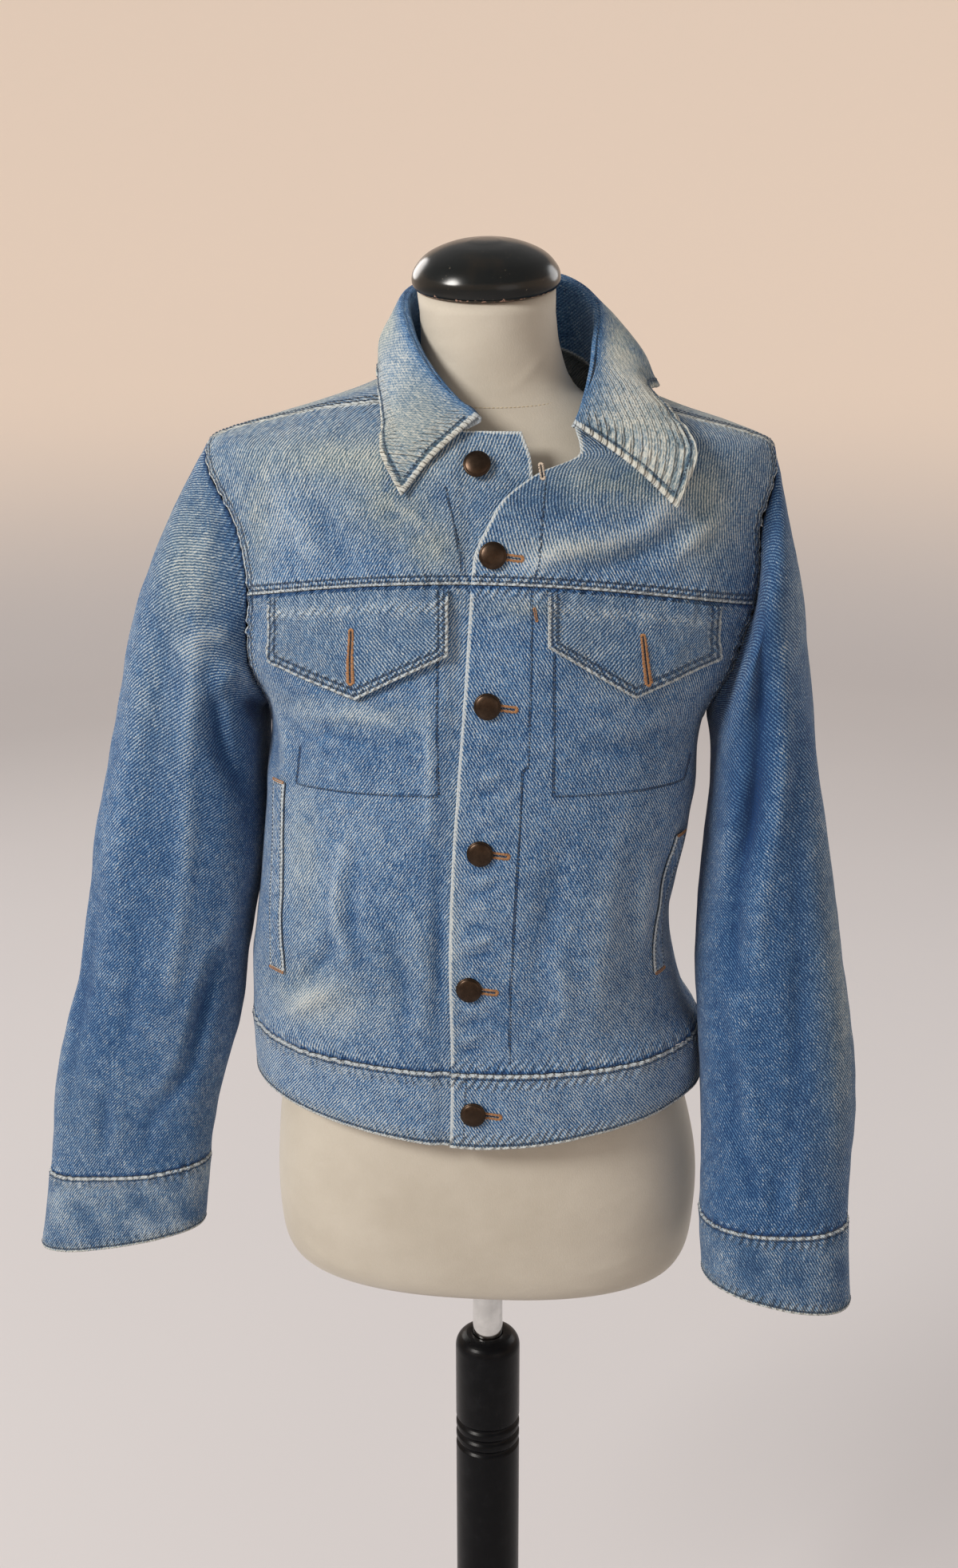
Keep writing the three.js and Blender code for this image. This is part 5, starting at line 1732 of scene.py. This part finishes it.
def neck_ring(rise, radius_x, radius_y, turns):
    x, y = radius_x * np.sin(turns), -radius_y * np.cos(turns)
    return np.stack([
        NECK_TOP["x"] + x,
        NECK_TOP["y"] + y * math.cos(NECK_TILT) + rise * math.sin(NECK_TILT),
        NECK_TOP["z"] - y * math.sin(NECK_TILT) + rise * math.cos(NECK_TILT),
    ], -1)


def round_ring(radius, z):
    return np.stack([radius * np.sin(form_turns), -radius * np.cos(form_turns), z + 0 * form_turns], -1)


def closed_rings(rings):
    rings = np.array(rings)
    first, last = (rings[k].mean(0, keepdims=True) for k in (0, -1))
    return np.concatenate([first, rings.reshape(-1, 3), last]), ring_faces(len(rings), rings.shape[1])


def jersey_material():
    n = Nodes("jersey", Roughness=0.82, Sheen_Weight=0.3, Sheen_Roughness=0.4, Specular_IOR_Level=0.3)
    where = n.place()
    stains = n.noise(where, 9, 4, 0.6)
    knit = n.noise(n.stretched(where, (900, 900, 500)), 1.0, 2)
    colour = n.blend(n.between(stains, 0.3, 0.75), linear("c0bbb0"), linear("b3ada1"))
    colour = n.blend(n.times(knit, 0.25), colour, linear("a89d88"))
    n.look("Base Color", colour)
    folds = n.noise(n.stretched(where, (14, 14, 30)), 1.0, 3, 0.5)
    n.look("Normal", n.bump(folds, 0.35, 0.004, n.bump(knit, 0.3, 0.0004)))
    return n.material


jersey = jersey_material()
form_rings = [round_ring(SOCKET["radius"], SOCKET["top"]), round_ring(SOCKET["radius"], FORM_ROWS[0][0])]
form_rings += [form_ring(row) for row in np.linspace(0, len(FORM_ROWS) - 1, 8 * (len(FORM_ROWS) - 1) + 1)]
form_rings += [neck_ring(0, NECK_TOP["radius_x"], NECK_TOP["radius_y"], form_turns)]
form_mesh = new_mesh("form_jersey", *closed_rings(form_rings))
link("form_jersey", form_mesh, jersey, replaces=["form"])

# The seam round the neck, a thin raised line
seam_turns = np.linspace(-75, 200, 160)
SEAM_ROW = 16.1


def neck_seam():
    middle = []
    for turn in seam_turns:
        row = SEAM_ROW - 0.9 * math.cos(math.radians(turn))
        z, mid, across, fore, aft, _ = (float(FORM.at(name, row)) for name in FORM.names[1:])
        depth = aft if abs(turn) > 90 else fore
        middle.append([mid + across * math.sin(math.radians(turn)), -depth * math.cos(math.radians(turn)), z])
    return np.array(middle)


seam = neck_seam()
seam_out = unit(seam * [1, 1, 0])
neck_thread = Thread("neck_seam", thread_material("jersey_thread", "cbbd9f", "a2957a"), 0.35)
neck_thread.row(seam + seam_out * 0.1, seam_out, 3.0, 0.4)
neck_thread.make()

CAP = Table("row rise across depth", [
    [0, 0.4, 48, 45],
    [1, 2, 52, 50],
    [2, 7, 53.5, 51],
    [3, 14, 51.5, 49.5],
    [4, 23, 43, 42],
    [5, 30, 27, 27],
    [6, 33, 10, 10],
])


def lacquer_material():
    """Black lacquer, chipped along its lower front edge, with a faint golden cast and light specks."""
    n = Nodes("black_lacquer", Specular_IOR_Level=0.4)
    where = n.place()
    _, fore, up = n.split(where)
    chips = n.noise(where, 260, 4, 0.7)
    height = n.add(up, n.times(fore, -0.249))
    low = n.between(height, 1.4475, 1.4415)
    chipped = n.between(n.add(chips, n.times(low, 0.24)), 0.74, 0.78)
    specks = n.between(n.noise(where, 900, 2), 0.735, 0.76)
    gold = n.between(n.noise(where, 30, 3), 0.5, 0.8)
    base = n.blend(n.times(gold, 0.35), linear("0e1111"), linear("35291a"))
    base = n.blend(n.times(specks, 0.5), base, linear("b9ae9a"))
    n.look("Base Color", n.blend(chipped, base, linear("b58f7e")))
    n.look("Roughness", n.add(0.2, n.times(chipped, 0.5)))
    swell = n.bump(n.noise(where, 45, 2), 0.1, 0.002)
    n.look("Normal", n.bump(n.times(chipped, -1), 0.6, 0.0006, swell))
    return n.material


cap_turns = np.arange(120) * 2 * math.pi / 120
cap_rings = [
    neck_ring(*(float(CAP.at(name, row)) for name in ("rise", "across", "depth")), cap_turns)
    for row in np.linspace(0, 6, 49)
]
cap_mesh = new_mesh("neck_cap_lacquer", *closed_rings(cap_rings))
link("neck_cap_lacquer", cap_mesh, lacquer_material(), replaces=["neck_cap"])

# ---- Stand ---------------------------------------------------------------------------------------
POLE = {"radius": 12.7, "bottom": 250, "top": 760}
POST = {"radius": 27.5, "bottom": 16, "top": 581, "bore": 13.2, "bore_bottom": 215, "shoulder": 12}
POST_FOOT = {"radius": 42, "height": 18}
GROOVES = {"first": 476, "pitch": 11, "count": 3, "depth": 2.4, "width": 7}
BASE = {"radius": 190, "edge": 7, "rise": 50}


def black_paint(name, colour, rough):
    n = Nodes(name, Specular_IOR_Level=0.12)
    where = n.place()
    dust = n.noise(where, 70, 4, 0.6)
    n.look("Base Color", n.blend(n.between(dust, 0.45, 0.9), linear(colour), linear("17181b")))
    n.look("Roughness", n.add(rough, n.times(n.noise(where, 160, 2), 0.12)))
    n.look("Normal", n.bump(n.noise(where, 500, 2), 0.12, 0.0004))
    return n.material


post_paint = black_paint("post_paint", "08090c", 0.24)
base_paint = black_paint("base_paint", "141517", 0.3)


def post_profile():
    profile = [(0, POST["bottom"]), (POST_FOOT["radius"], POST["bottom"])]
    foot_top = POST["bottom"] + POST_FOOT["height"]
    profile.append((POST_FOOT["radius"], POST["bottom"] + POST_FOOT["height"] * 0.5))
    profile.append((POST["radius"], foot_top))
    for i in range(GROOVES["count"]):
        middle = GROOVES["first"] + i * GROOVES["pitch"]
        for t in np.linspace(-1, 1, 9):
            dip = GROOVES["depth"] * math.cos(t * math.pi / 2) ** 1.5
            profile.append((POST["radius"] - dip, middle + t * GROOVES["width"] / 2))
    shoulder = POST["shoulder"]
    profile += arc((POST["radius"] - shoulder, POST["top"] - shoulder), (shoulder, shoulder), 0, 88, 9)
    profile += [(POST["bore"], POST["top"]), (POST["bore"], POST["bore_bottom"]), (0, POST["bore_bottom"])]
    return profile


pole_corners = ((0, "bottom"), (POLE["radius"], "bottom"), (POLE["radius"], "top"), (0, "top"))
pole_profile = [(radius, POLE[end]) for radius, end in pole_corners]
add_turned("pole_tube", bevelled(pole_profile), 72, chrome, ["pole"], "pole")
add_turned("post_tube", bevelled(post_profile(), 0.5), 96, post_paint, ["post"], "stand")
base_top = POST["bottom"] - GAP
base_profile = [
    (0, 0), (BASE["radius"] - 2, 0), (BASE["radius"], 2), (BASE["radius"], BASE["edge"] - 2),
    (BASE["radius"] - 4, BASE["edge"]), (POST_FOOT["radius"] + BASE["rise"], BASE["edge"] + 4),
    (POST_FOOT["radius"] + 8, base_top), (0, base_top),
]
add_turned("base_plate", bevelled(base_profile, 1.2), 128, base_paint, ["base"], "stand")

# ---- Stage, lights and camera --------------------------------------------------------------------
STAGE_RADIUS, STAGE_HEIGHT, STAGE_BEND = 7.0, 5.0, 1.6


def stage_material():
    n = Nodes("stage", Roughness=0.9, Specular_IOR_Level=0.1)
    where = n.place()
    high = n.between(n.split(where)[2], -0.05, 1.1)
    floor = n.blend(n.noise(where, 0.7, 2), linear("b0adae"), linear("b6b3b3"))
    colour = n.blend(high, floor, linear("decebf"))
    n.look("Base Color", colour)
    n.look("Emission Color", colour)
    n.surface.inputs["Emission Strength"].default_value = 0.42
    return n.material


def add_stage():
    """A pale round floor that curves up into a wall, far from the object on every side."""
    bend = arc((STAGE_RADIUS - STAGE_BEND, STAGE_BEND), (STAGE_BEND, STAGE_BEND), -90, 0, 14)
    profile = [(0.001, 0), (1.0, 0), (3.0, 0), *bend, (STAGE_RADIUS, STAGE_HEIGHT)]
    sides = 96
    turns = np.arange(sides) * 2 * math.pi / sides
    rings = np.array([[(r * math.sin(a), -r * math.cos(a), z) for a in turns] for r, z in profile])
    place = np.arange(sides)
    after = (place + 1) % sides
    faces = [
        np.stack([r * sides + place, r * sides + after, (r + 1) * sides + after, (r + 1) * sides + place], 1)
        for r in range(len(profile) - 1)
    ]
    mesh = new_mesh("stage_floor", rings.reshape(-1, 3) / MM, np.concatenate(faces)[:, ::-1])
    floor = bpy.data.objects.new("stage_floor", mesh)
    mesh.materials.append(stage_material())
    bpy.context.scene.collection.objects.link(floor)


def add_light(name, place, target, size, watts, colour):
    data = bpy.data.lights.new(name, "AREA")
    data.shape = "DISK"
    data.size, data.energy, data.color = size, watts, colour
    lamp = bpy.data.objects.new(name, data)
    lamp.location = place
    direction = np.array(target) - np.array(place)
    lamp.rotation_euler = Vector(direction).to_track_quat("-Z", "Y").to_euler()
    bpy.context.scene.collection.objects.link(lamp)


def add_camera():
    data = bpy.data.cameras.new("camera")
    camera = bpy.data.objects.new("camera", data)
    bpy.context.scene.collection.objects.link(camera)
    camera.location = (0.1094, -1.2502, 1.430)
    camera.rotation_euler = (math.radians(74), 0, math.radians(5))
    data.sensor_width = 36
    data.lens = 38.49
    data.shift_x = -0.0056
    data.clip_start, data.clip_end = 0.05, 100
    bpy.context.scene.camera = camera


add_stage()
add_light("key", (-2.3, -2.0, 2.9), (0, 0, 1.15), 1.1, 114, (1.0, 0.96, 0.91))
add_light("fill", (2.2, -3.0, 1.6), (0, 0, 1.0), 2.2, 6, (0.93, 0.96, 1.0))
add_light("back_left", (-2.2, 2.6, 2.6), (0, 0, 1.1), 1.8, 36, (1.0, 0.97, 0.94))
add_light("back_right", (2.4, 2.3, 2.4), (0, 0, 1.0), 1.8, 24, (0.96, 0.98, 1.0))
world = bpy.data.worlds.new("studio")
world.use_nodes = True
background = world.node_tree.nodes["Background"]
background.inputs["Color"].default_value = (0.93, 0.9, 0.88, 1)
background.inputs["Strength"].default_value = 0.34
bpy.context.scene.world = world
view = bpy.context.scene.view_settings
view.view_transform = "Standard"
add_camera()
